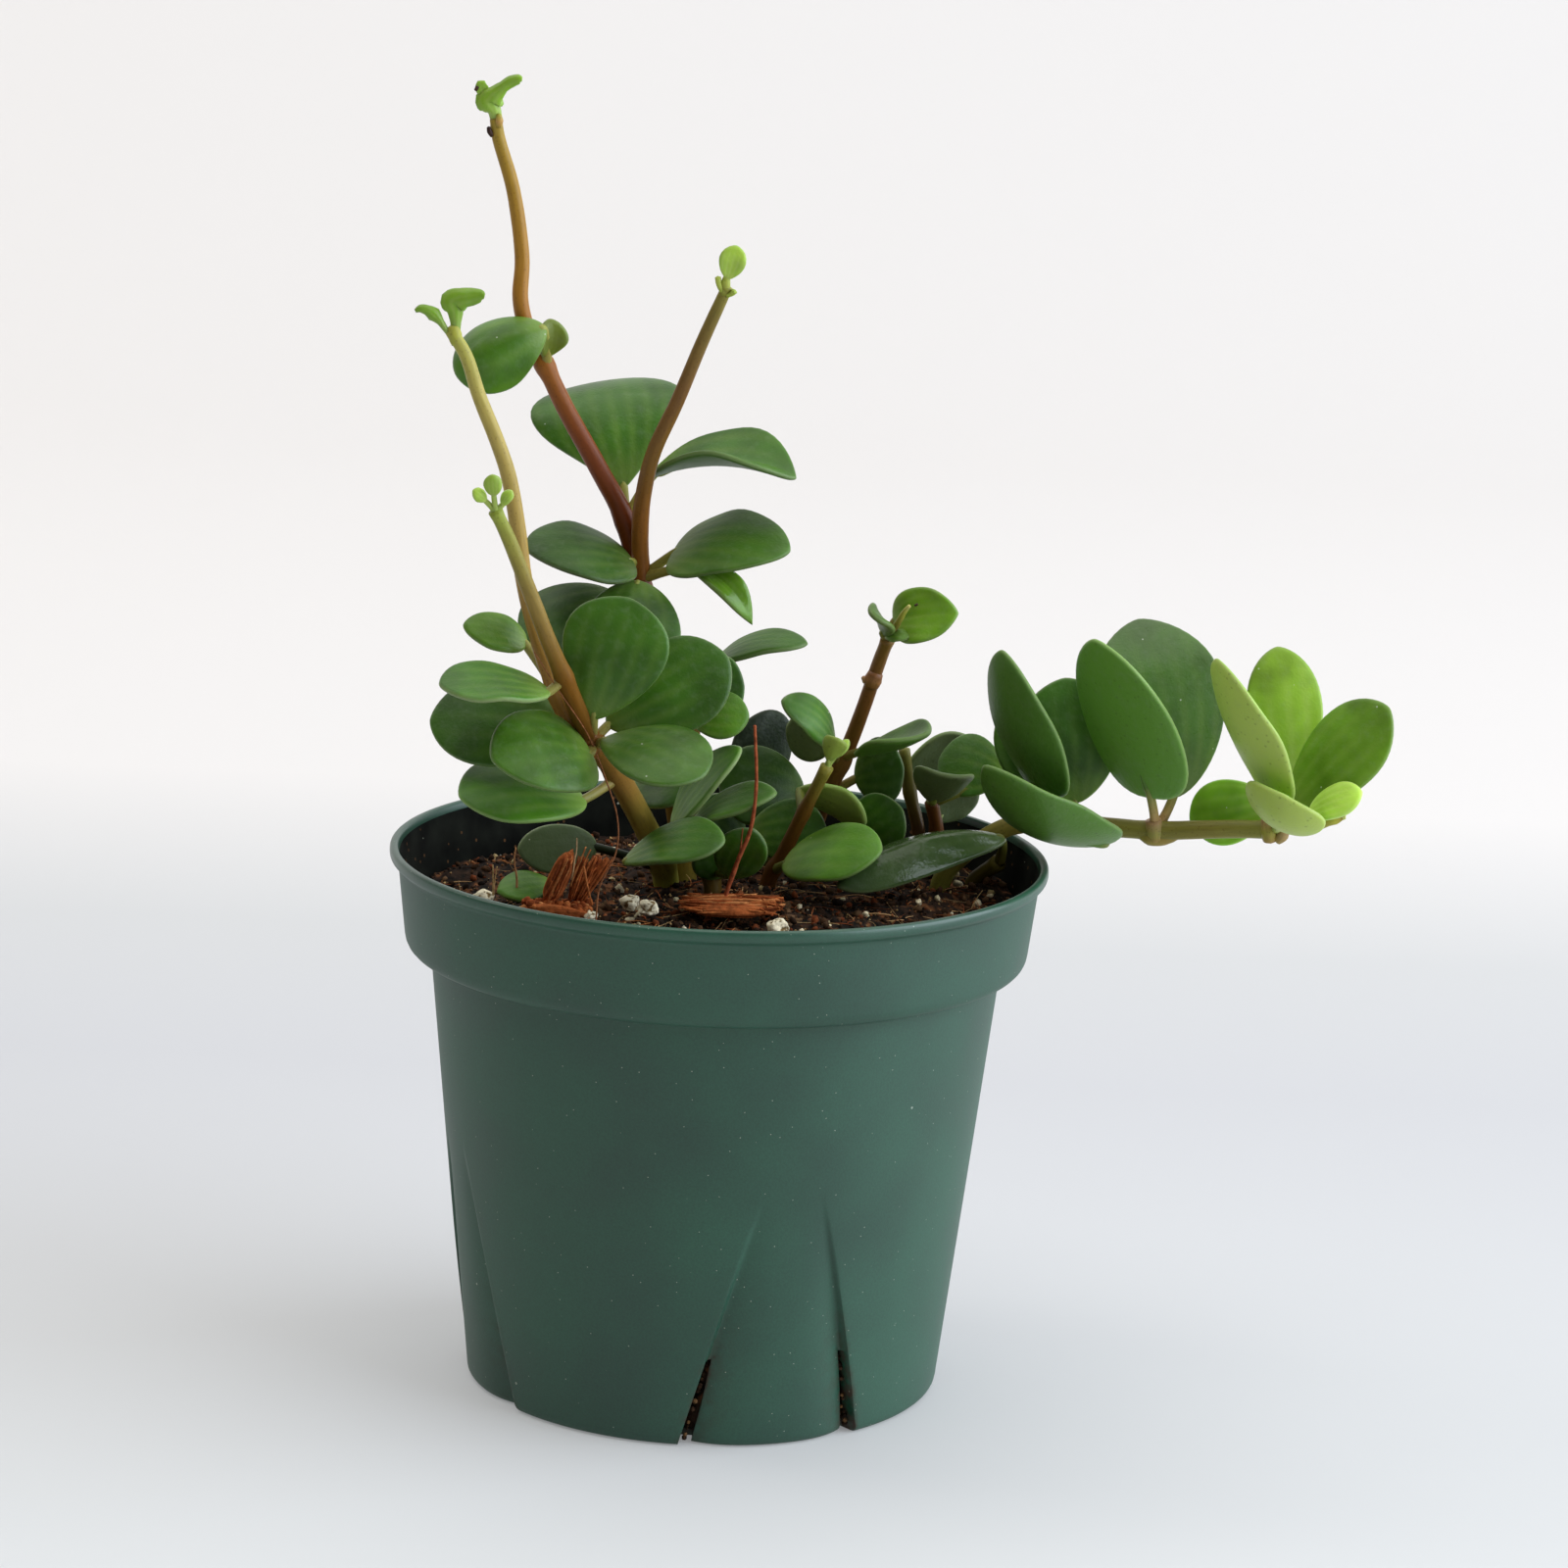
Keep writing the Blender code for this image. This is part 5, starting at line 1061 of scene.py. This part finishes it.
def add_slits(pot):
    """Cuts the drain slits: a wedge through the wall along each lower edge of each panel."""
    corners = ((-SLIT_REACH_IN, -1), (-SLIT_REACH_IN, 1), (SLIT_REACH_OUT, 1), (SLIT_REACH_OUT, -1))
    sides = np.array([(0, 1, 2, 3), (7, 6, 5, 4), (0, 4, 5, 1), (1, 5, 6, 2), (2, 6, 7, 3), (3, 7, 4, 0)])
    cutters = bmesh.new()
    for panel, side in np.ndindex(PANEL_COUNT, 2):
        points = []
        for z, width in ((-1.0, SLIT_WIDTH_FOOT), (SLIT_TOP_Z, SLIT_WIDTH_TOP)):
            turn = slit_turn(panel, side, max(z, 0.0))
            out = np.array([math.sin(turn), -math.cos(turn), 0.0])
            aside = np.array([math.cos(turn), math.sin(turn), 0.0])
            for reach, shift in corners:
                point = out * (body_radius(max(z, 0.0)) + reach) + aside * shift * width / 2
                points.append(cutters.verts.new((*point[:2] * MM, z * MM)))
        for face in sides:
            cutters.faces.new([points[corner] for corner in face])
    bmesh.ops.recalc_face_normals(cutters, faces=cutters.faces)
    mesh = bpy.data.meshes.new("slits")
    cutters.to_mesh(mesh)
    cutters.free()
    cutter = put("slits", mesh)
    cut = pot.modifiers.new("slits", "BOOLEAN")
    cut.operation, cut.object, cut.solver = "DIFFERENCE", cutter, "EXACT"
    graph = bpy.context.evaluated_depsgraph_get()
    applied = bpy.data.meshes.new_from_object(pot.evaluated_get(graph))
    pot.modifiers.clear()
    pot.data = applied
    bpy.data.objects.remove(cutter)


def coat_inside(mesh):
    """Gives the second material, the near-black film that is partly painted shade, to the faces that look
    at the pot's middle, from below its lip.
    """
    count = len(mesh.polygons)
    middles, normals = np.empty(count * 3), np.empty(count * 3)
    mesh.polygons.foreach_get("center", middles)
    mesh.polygons.foreach_get("normal", normals)
    middles, normals = middles.reshape(-1, 3), normals.reshape(-1, 3)
    inward = (middles[:, :2] * normals[:, :2]).sum(1) < -0.3 * np.linalg.norm(middles[:, :2], axis=1)
    below = middles[:, 2] < (RIM_TOP - LIP_DEPTH) * MM
    mesh.polygons.foreach_set("material_index", (inward & below).astype(np.int32))


def add_pot(plastic, film_and_shade):
    """The pot: its outside from the foot over the band to the lip, and its inside back down."""
    outer = rounded([
        (BODY_RADIUS_FOOT - FOOT_ROUND - 3, 0.0, 0),
        (body_radius(0.0) - 0.1, 0.0, FOOT_ROUND),
        (body_radius(PANEL_TOP_Z), PANEL_TOP_Z, 0),
        (BODY_RADIUS_TOP, BAND_FOOT_Z, 0.25),
        (BAND_RADIUS_FOOT, BAND_FOOT_Z, 2.2),
        (BAND_RADIUS_TOP, LIP_FLARE_Z, 0.5),
        (RIM_RADIUS, LIP_FLARE_Z + 0.9, 0.6),
        (RIM_RADIUS, RIM_TOP, 0.9),
        (RIM_RADIUS - 1.3, RIM_TOP, 0.5),
        (RIM_RADIUS - LIP_WIDTH, RIM_TOP - LIP_DEPTH, 0),
    ])
    inner = rounded([
        (RIM_RADIUS - LIP_WIDTH, RIM_TOP - 1.3, 0),
        (BAND_RADIUS_FOOT - WALL, BAND_FOOT_Z + WALL + 0.3, 0.5),
        (BODY_RADIUS_TOP - WALL, BAND_FOOT_Z + WALL, 0.3),
        (body_radius(PANEL_TOP_Z) - WALL, PANEL_TOP_Z, 0),
        (BODY_RADIUS_FOOT - WALL, FLOOR, 0.8),
        (BODY_RADIUS_FOOT - WALL - 2, FLOOR, 0),
    ])
    rings = np.concatenate([wall_rings(outer), wall_rings(inner, INNER_SPREAD)])
    rows, columns = rings.shape[:2]
    rim = np.clip((rings[..., 2] - LIP_FLARE_Z) / 1.5, 0, 1)
    wear = np.stack([stain(rings), rim, 0 * rim, 0 * rim], -1)
    shell = ringed(rings, [0, 0, 0], [0, 0, FLOOR], wear=spread(wear, rows, columns))
    pot = build("nursery_pot", [shell], [plastic, film_and_shade], stands_for=["pot"])
    add_slits(pot)
    coat_inside(pot.data)
    pot.data.set_sharp_from_angle(angle=math.radians(SHARP_DEGREES))
    return pot


# Soil and what lies on it

def soil_height(x, y):
    """The soil's surface, as in the CAD: gentle bumps, a little higher to the right."""
    bumps = (np.sin(0.21 * x + 0.7) * np.cos(0.18 * y - 0.4) + 0.5 * np.sin(0.43 * x - 0.3 * y))
    return SOIL_LEVEL + SOIL_BUMP * bumps + 0.02 * x


def soil_relief(x, y):
    """The crumbly relief on the soil's surface: noise in clods of 5 mm down to grains of 0.6 mm."""
    flat = np.stack([x, y, 0 * x], -1)
    return SOIL_RELIEF * (0.7 * noise(flat, 5.0, 2, 4) + 0.5 * np.abs(noise(flat, 1.6, 9, 2)))


def add_soil(finish):
    """The filling: its side follows the pot's inside, and its top is the bumpy surface."""
    side = np.array([(37.0, FLOOR + 0.3), (38.0, FLOOR + 0.8),
                     (body_radius(SLIT_TOP_Z) - SOIL_GAP, SLIT_TOP_Z),
                     (body_radius(PANEL_TOP_Z) - SOIL_GAP, PANEL_TOP_Z),
                     (BODY_RADIUS_TOP - SOIL_GAP, BAND_FOOT_Z + 1.0),
                     (BAND_RADIUS_FOOT - SOIL_GAP, BAND_FOOT_Z + 1.5),
                     (SOIL_EDGE_RADIUS, SOIL_LEVEL - 1.2)])
    dense = [side[:1]]
    for start, end in zip(side, side[1:]):
        parts = max(1, round(np.linalg.norm(end - start) / SOIL_SPACING))
        dense.append(start + (end - start) * (np.arange(1, parts + 1) / parts)[:, None])
    lower = wall_rings(np.vstack(dense), SOIL_SPREAD)
    rough = noise(lower, 2.5, 4, 3)[..., None] * 0.35 - 0.3
    lower = lower + unit(lower * (1, 1, 0)) * rough
    columns = lower.shape[1]
    turn = np.arctan2(lower[-1, :, 1], lower[-1, :, 0])
    share = np.linspace(1.0, 0.012, SOIL_RINGS)[:, None]
    x, y = SOIL_EDGE_RADIUS * share * np.cos(turn), SOIL_EDGE_RADIUS * share * np.sin(turn)
    upper = np.stack([x, y, soil_height(x, y) + soil_relief(x, y)], -1)
    rings = np.concatenate([lower, upper])
    middle = [0, 0, soil_height(0.0, 0.0)]
    specks = noise(rings, 1.3, 31, 2)[..., None]
    tint = np.where(specks > 0.3, linear("6b4429"), linear("2e2017"))
    tint = np.where(specks < -0.2, linear("0e0a07"), tint)
    shell = ringed(rings, [0, 0, FLOOR + 0.3], middle, tint=spread(tint, len(rings), columns))
    return build("potting_soil", [shell], [finish], stands_for=["soil"])


def ball(subdivisions):
    """The points and triangles of an icosphere, or of an octahedron for 0 subdivisions."""
    if not subdivisions:
        points = np.array([(1, 0, 0), (0, 1, 0), (-1, 0, 0), (0, -1, 0), (0, 0, 1), (0, 0, -1)], float)
        sides = [(k, (k + 1) % 4) for k in range(4)]
        return points, np.array([(a, b, 4) for a, b in sides] + [(b, a, 5) for a, b in sides])
    shell = bmesh.new()
    bmesh.ops.create_icosphere(shell, subdivisions=subdivisions, radius=1.0)
    points = np.array([vertex.co for vertex in shell.verts])
    faces = np.array([[vertex.index for vertex in face.verts] for face in shell.faces])
    shell.free()
    return points, faces


BALLS = {subdivisions: ball(subdivisions) for subdivisions in range(5)}


def lump(draw, size, subdivisions, rough, stretch=(1, 1, 1), blocky=1.0):
    """A lump: an icosphere stretched, turned at random and pushed in and out by noise. Its coordinates
    are raised to the power blocky first, so that a value under 1 squares it off."""
    points, faces = BALLS[subdivisions]
    points = np.sign(points) * np.abs(points) ** blocky
    turned = np.linalg.qr(draw.normal(size=(3, 3)))[0]
    if np.linalg.det(turned) < 0:
        turned[:, 0] *= -1
    shift = draw.uniform(0, 90, 3)
    swell = 1 + rough * noise(points + shift, 0.9, 3, 3)[:, None]
    return (points * swell * size / 2 * stretch) @ turned.T, faces


def loose(points, faces, tint):
    """A shell from points and triangles, with one colour or a colour for each point."""
    tint = np.broadcast_to(tint, (len(points), 4))
    return {"points": points, "fans": faces, "finish": 0, "data": {"tint": tint}}


def picked(draw, codes):
    """One of the hex colours at random, as linear light."""
    return linear(codes[draw.integers(len(codes))])


def scattered(draw, count, reach):
    """Random places on a disc, even over its area."""
    turn, radius = draw.uniform(0, 2 * np.pi, count), reach * np.sqrt(draw.uniform(0, 1, count))
    return radius * np.cos(turn), radius * np.sin(turn)


def add_crumbs(finish):
    """Crumbs of peat, bark, husk and perlite all over the soil, as low lumps of 8 or 20 faces, with a
    few finer pale bits and the crumbs in the slits."""
    draw = np.random.default_rng(11)
    # Each kind's count, least and most size, colours and subdivisions.
    kinds = ((1450, (0.7, 2.4), ("1b120c", "2e1e13", "4a3220", "3a2819", "5e4630"), 1),
             (330, (0.7, 2.2), ("7a3f22", "8d5130", "5f3018"), 1),
             (110, (0.5, 2.0), ("d8cca4", "c7b788", "e0d6b8", "a8946a"), 1),
             (4200, (0.3, 1.0), ("120c08", "2e1e13", "4a3220", "6b4a30", "8a5a38", "a88a5c"), 0))
    shells = []
    for count, (least, most), codes, subdivisions in kinds:
        x, y = scattered(draw, count, SOIL_EDGE_RADIUS - 0.6)
        sizes = least + (most - least) * draw.uniform(0, 1, count) ** 2.2
        for place_x, place_y, size in zip(x, y, sizes):
            points, faces = lump(draw, size, subdivisions, 0.5, (1.0, 0.75, 0.6))
            rise = soil_height(place_x, place_y) + soil_relief(place_x, place_y) + size * 0.12
            shells.append(loose(points + (place_x, place_y, rise), faces, picked(draw, codes)))
    for place_x, place_y, size in CREAM_BITS:
        points, faces = lump(draw, size, 2, 0.6, (1.3, 0.8, 0.6), 0.7)
        rise = soil_height(place_x, place_y) + 0.7
        shells.append(loose(points + (place_x, place_y, rise), faces, linear("ddd0ae")))
    shells += slit_crumbs(draw)
    return build("soil_crumbs", shells, [finish])


def slit_crumbs(draw):
    """Crumbs of soil that have worked into the drain slits, just behind the wall's outer face."""
    shells = []
    for panel, side in np.ndindex(PANEL_COUNT, 2):
        for _ in range(SLIT_CRUMBS):
            z = draw.uniform(0.9, SLIT_TOP_Z - 1.5)
            turn = slit_turn(panel, side, z)
            reach = body_radius(z) - PANEL_DEPTH + draw.uniform(-0.4, 0.5)
            size = draw.uniform(0.5, 1.2)
            points, faces = lump(draw, size, 1, 0.5)
            place = (math.sin(turn) * reach, -math.cos(turn) * reach, z)
            codes = ("2a1c12", "5a4230", "7a5a3a", "3a281a")
            shells.append(loose(points + place, faces, picked(draw, codes)))
    return shells


def hair(draw, foot, heading, lift, length, radius, colour):
    """A thin husk fibre: a tube that leaves its foot in a direction and bends as it goes."""
    t = np.linspace(0, 1, 7)
    way = direction(heading, lift)
    bend, sag = draw.uniform(-0.5, 0.5), draw.uniform(-0.4, 0.15)
    aside = np.cross(way, (0, 0, 1))
    off = np.outer(t, way) + np.outer(bend * t ** 2, aside) + np.outer(sag * t ** 2, (0, 0, 1))
    route = foot + length * off
    return tube(route, radius * (1 - 0.6 * t), HAIR_SIDES, colour)


def add_fibres(finish):
    """Husk fibres: the long ones that the photograph shows, at given routes from the soil up, and
    short hairs that lie about on the soil or stick out of it."""
    draw = np.random.default_rng(23)
    shells = []
    for radius, code, points in LONG_FIBRES:
        route = smooth_route(points, 6)
        radii = radius * np.linspace(1, 0.55, len(route)) * (1 + 0.25 * noise(route, 1.5, 8))
        shells.append(tube(route, radii, LONG_FIBRE_SIDES, linear(code)))
    codes = ("9a5a34", "b0703f", "7b4023", "c8a070", "5c3520", "3c2416", "a88a60")
    x, y = scattered(draw, HAIRS, SOIL_EDGE_RADIUS - 2.5)
    for place_x, place_y in zip(x, y):
        foot = np.array([place_x, place_y, soil_height(place_x, place_y) + 0.3])
        standing = draw.uniform() < STANDING_SHARE
        lift = draw.uniform(35, 75) if standing else draw.uniform(-4, 16)
        length = draw.uniform(1.5, 4.0) if standing else draw.uniform(2.0, 7.0)
        inward = math.degrees(math.atan2(-place_y, -place_x))
        near_edge = math.hypot(place_x, place_y) > SOIL_EDGE_RADIUS - 8
        heading = inward + draw.uniform(-80, 80) if near_edge else draw.uniform(0, 360)
        colour = picked(draw, codes)
        shells.append(hair(draw, foot, heading, lift, length, draw.uniform(0.05, 0.13), colour))
    return build("husk_fibres", shells, [finish])


def strand(draw, foot, head, radius, codes):
    """One strand of husk between two points, a little bent and ragged, thinner at its ends."""
    t = np.linspace(0, 1, 8)
    ragged = noise(np.outer(t, [6, 0, 0]) + draw.uniform(0, 90, 3), 1.6, 6)[:, None]
    route = foot + np.outer(t, head - foot) + ragged * draw.normal(size=3) * 0.25
    taper = 0.35 + 0.65 * np.sin(np.pi * np.clip(t, 0.04, 0.96)) ** 0.6
    radii = radius * taper * (1 + 0.2 * noise(route, 0.8, 7))
    return tube(route, radii, STRAND_SIDES, picked(draw, codes))


def slab(foot, head, side, half_wide, half_thick, seed, codes):
    """A torn slab of husk from foot to head: a squared-off block with flakes and grooves along its
    length. side points across its broad face."""
    points, faces = BALLS[4]
    points = np.sign(points) * np.abs(points) ** 0.62
    foot, head, side = np.array((foot, head, side), float)
    along = head - foot
    side = unit(side - side @ unit(along) * unit(along))
    thick = unit(np.cross(along, side))
    grooves = noise(points * (0.5, 5.0, 5.0), 0.9, seed, 3)[:, None]
    flakes = noise(points * (2.5, 4.0, 4.0), 1.0, seed + 5, 3)[:, None]
    broad = noise(points, 1.2, seed + 8, 2)[:, None]
    points = points * np.where([True, False, False], 1, 1 - 0.5 * np.abs(points[:, :1]) ** 4)
    swollen = points * (1 + np.array([0.1, 0.16, 0.3]) * grooves + 0.1 * flakes
                        + np.array([0.16, 0.22, 0.3]) * broad)
    middle = (foot + head) / 2
    body = (middle + swollen[:, :1] * along / 2 + swollen[:, 1:2] * side * half_wide
            + swollen[:, 2:] * thick * half_thick)
    shade = 32 + 60 * (0.6 * grooves[:, 0] + 0.4 * flakes[:, 0])
    tint = stem_colours(codes, 64)[np.clip(shade, 0, 63).astype(int)]
    return loose(body, faces, tint)


def bundle(draw, foot, head, side, foot_half, head_half, count, radii, codes):
    """Strands from near foot to near head, spread out sideways by foot_half and head_half."""
    foot, head, side = np.array((foot, head, side), float)
    shells = []
    for _ in range(count):
        aside, depth, reach = draw.uniform(-1, 1), draw.uniform(-0.8, 0.8), draw.uniform(0.7, 1.0)
        start = foot + side * aside * foot_half + (0, depth, 0) + (head - foot) * draw.uniform(0, 0.25)
        end = foot + (head - foot) * reach + side * aside * head_half + (0, depth, 0)
        shells.append(strand(draw, start, end, draw.uniform(*radii), codes))
    return shells


RIGHT, AWAY = (1.0, 0.0, 0.0), (0.0, 1.0, 0.0)
HUSK_CODES = ("6e3416", "8f4a24", "a85c30", "b87344")
FIBRE_CODES = ("9c5228", "ab6234", "8a4420", "bb7a48", "74381a")


def add_flat_chip(finish):
    """The flat husk chip: a torn slab with loose strands on it and frayed ends."""
    low, high = np.array(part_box("flat_coir_chip")) / MM
    draw = np.random.default_rng(5)
    middle, half = (low + high) / 2, (high - low) / 2
    reach = half[0] * 0.86
    shells = [slab(middle - (reach, 0, 0.2), middle + (reach, 0, -0.1), AWAY, half[1] * 0.8, half[2] * 0.72,
                   4, HUSK_CODES)]
    for _ in range(FLAT_CHIP_STRANDS):
        across = draw.uniform(-1, 1)
        heading, length = math.radians(draw.normal() * 16), draw.uniform(3, 11)
        x = middle[0] + draw.uniform(-0.9, 0.9) * half[0]
        z = middle[2] + (half[2] - 0.35) * (1 - 0.9 * abs(across) ** 3) + draw.uniform(-0.5, 0.05)
        foot = np.array([x, middle[1] + across * (half[1] - 0.6), z])
        head = foot + (math.cos(heading) * length, math.sin(heading) * length, draw.uniform(-0.3, 0.3))
        near, far = draw.uniform(0.3, 2.6), draw.uniform(0.3, 4.5)
        head[:2] = np.clip(head[:2], low[:2] + near, high[:2] - (far, 0.3))
        shells.append(strand(draw, foot, head, draw.uniform(0.08, 0.28), FIBRE_CODES))
    return build("flat_husk_chip", shells, [finish], stands_for=["flat_coir_chip"])


def add_split_chip(finish):
    """The upstanding husk chip: a slab that leans to the right, a fan of strands beside it, and the torn
    crumbly heap that both stand in."""
    low, high = np.array(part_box("split_coir_chip")) / MM
    draw = np.random.default_rng(7)
    shells = [slab((-27.6, -11.6, 81.6), (-23.9, -11.6, 90.3), RIGHT, 1.6, 0.8, 3, HUSK_CODES)]
    shells += bundle(draw, (-27.4, -11.8, 82), (-23.9, -11.8, 90.4), RIGHT, 1.1, 1.0, 26, (0.1, 0.25),
                     FIBRE_CODES)
    shells += bundle(draw, (-23, -11, 82), (-19.6, -11, 90), RIGHT, 1.4, 3.0, 90, (0.14, 0.34),
                     FIBRE_CODES[:3])
    shells.append(slab((-31.3, -12.4, 80.8), (-20.6, -13.4, 80.8), AWAY, 1.5, 1.15, 9, HUSK_CODES))
    for _ in range(SPLIT_CHIP_CRUMBS):
        place = np.array([draw.uniform(low[0] + 1, -20.6), draw.uniform(low[1] + 0.4, high[1] - 0.4), 81.6])
        points, faces = lump(draw, draw.uniform(0.5, 1.5), 2, 0.5)
        lifted = points + place + (0, 0, draw.uniform(-0.5, 0.5))
        shells.append(loose(lifted, faces, picked(draw, FIBRE_CODES)))
    return build("split_husk_chip", shells, [finish], stands_for=["split_coir_chip"])


def add_perlite(finish):
    """The perlite grains: expanded glass, cream, blocky and pitted, where the CAD's grains lie."""
    draw = np.random.default_rng(3)
    for number in range(1, 6):
        low, high = np.array(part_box(f"perlite_grain_{number}")) / MM
        points, faces = lump(draw, 2.0, 4, 0.38, blocky=0.75)
        clefts = np.clip(noise(points, 0.55, number, 2) - 0.15, 0, 1)[:, None]
        pits = np.clip(noise(points, 0.22, number + 9, 1) - 0.45, 0, 1)[:, None]
        points = points * (1 - 0.5 * clefts - 0.3 * pits)
        points = points / np.abs(points).max(0) * (high - low) / 2 + (low + high) / 2
        tint = np.where(pits + clefts > 0.12, linear("7c6640"), linear("f0e6c8"))
        build(f"perlite_lump_{number}", [loose(points, faces, tint)], [finish],
              stands_for=[f"perlite_grain_{number}"])


def add_fallen_leaf(materials):
    """The small dropped leaf on the soil, lifted as the CAD's is."""
    low, high = np.array(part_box("fallen_leaf")) / MM
    shell = blade_shell(FALLEN_LEAF, {"point": 0.6, "wave": 0.4, "gloss": 0.3}, 0.5)
    heights = shell["points"][:, 2]
    shell["points"] += (0, 0, (low[2] + high[2] - heights.min() - heights.max()) / 2)
    return build("dropped_leaf", [shell], materials, stands_for=["fallen_leaf"])


# Room, light and camera

def add_floor():
    """A pale floor that sweeps up into a plain backdrop behind the object. Its colour bands are painted
    light and shade, and its faint glow is painted fill light.
    """
    bend = np.linspace(0, np.pi / 2, 16)
    y = np.concatenate([[-3.0], BACKDROP_Y_M + SWEEP_M * np.sin(bend), [BACKDROP_Y_M + SWEEP_M]])
    z = np.concatenate([[0.0], SWEEP_M * (1 - np.cos(bend)), [4.0]])
    x = np.array([-4.0, 4.0])
    points = np.stack([np.repeat(x, len(y)), np.tile(y, 2), np.tile(z, 2)], -1)
    count = len(y)
    faces = [(k, count + k, count + k + 1, k + 1) for k in range(count - 1)]
    mesh = bpy.data.meshes.new("floor")
    mesh.from_pydata(points.tolist(), [], faces)
    mesh.shade_smooth()
    # The floor's glow is painted fill light, and its colour bands are painted light and shade.
    made, tree, shader = start_material("matte_paper_painted_fill", Roughness=0.7, IOR=1.4, Emission_Strength=FLOOR_PAINTED_FILL_GLOW)
    place = add(tree, "TexCoord", out="Object")
    depth = add(tree, "SeparateXYZ", (place,), out="Y")
    share = add(tree, "MapRange", (depth, FLOOR_FRONT_M, FLOOR_BACK_M))
    colour = add(tree, "ValToRGB", (share,), stops=FLOOR_COLOURS_AND_PAINTED_SHADE)
    feed(tree, shader, {"Base Color": colour, "Emission Color": colour})
    mesh.materials.append(made)
    floor = put("floor", mesh)


def add_light(name, place, target, size, power, colour):
    """A soft square light at a place, turned to a target, in metres and watts."""
    light = bpy.data.lights.new(name, "AREA")
    light.shape, light.size, light.energy = "SQUARE", size, power
    light.color = linear(colour)[:3]
    made = put(name, light)
    made.location = place
    made.rotation_euler = (Vector(target) - Vector(place)).to_track_quat("-Z", "Y").to_euler()


def add_world():
    """Even pale light from all round."""
    world = bpy.data.worlds.new("soft_room")
    world.use_nodes = True
    back = world.node_tree.nodes["Background"]
    back.inputs["Color"].default_value = linear(ROOM_COLOUR)
    back.inputs["Strength"].default_value = ROOM_STRENGTH
    bpy.context.scene.world = world


def add_camera():
    """The camera at the photograph's angle: it looks at its target from above, rolled a little."""
    rise = math.radians(CAMERA_ELEVATION)
    back = Vector((0, -math.cos(rise), math.sin(rise)))
    right = Vector((1, 0, 0))
    up = right.cross(-back)
    roll = math.radians(CAMERA_ROLL)
    turned_right = math.cos(roll) * right + math.sin(roll) * up
    turned_up = math.cos(roll) * up - math.sin(roll) * right
    camera = bpy.data.cameras.new("camera")
    camera.lens, camera.sensor_width = CAMERA_LENS, 36.0
    camera.clip_start, camera.clip_end = 0.05, 20.0
    made = put("camera", camera)
    turn = Matrix((turned_right, turned_up, back)).transposed().to_4x4()
    made.matrix_world = Matrix.Translation(Vector(CAMERA_TARGET_M) + CAMERA_DISTANCE_M * back) @ turn
    bpy.context.scene.camera = made


def main():
    """Adds every piece, then the floor, the lights, the even light from all round and the camera."""
    leaf, stem = leaf_skin(), stem_skin()
    peat = loose_matter("moist_peat", 0.3, 1.6, 1.5, 0.88, 0.8)
    husk = loose_matter("coconut_husk", 0.55, 1.4, 0.9, 0.9, 0.7)
    glass = loose_matter("expanded_perlite", 0.75, 1.15, 0.7, 0.95, 0.8)
    add_pot(pot_plastic(), inside_film_and_painted_shade())
    add_soil(peat)
    add_crumbs(peat)
    add_fibres(husk)
    add_flat_chip(husk)
    add_split_chip(husk)
    add_perlite(glass)
    for name, plan in LEAFY_STEMS.items():
        add_leafy_stem(name, plan, [leaf, stem])
    add_fallen_leaf([leaf, stem])
    add_floor()
    for settings in LIGHTS:
        add_light(*settings)
    add_world()
    add_camera()
    bpy.context.scene.view_settings.view_transform = "Standard"


main()
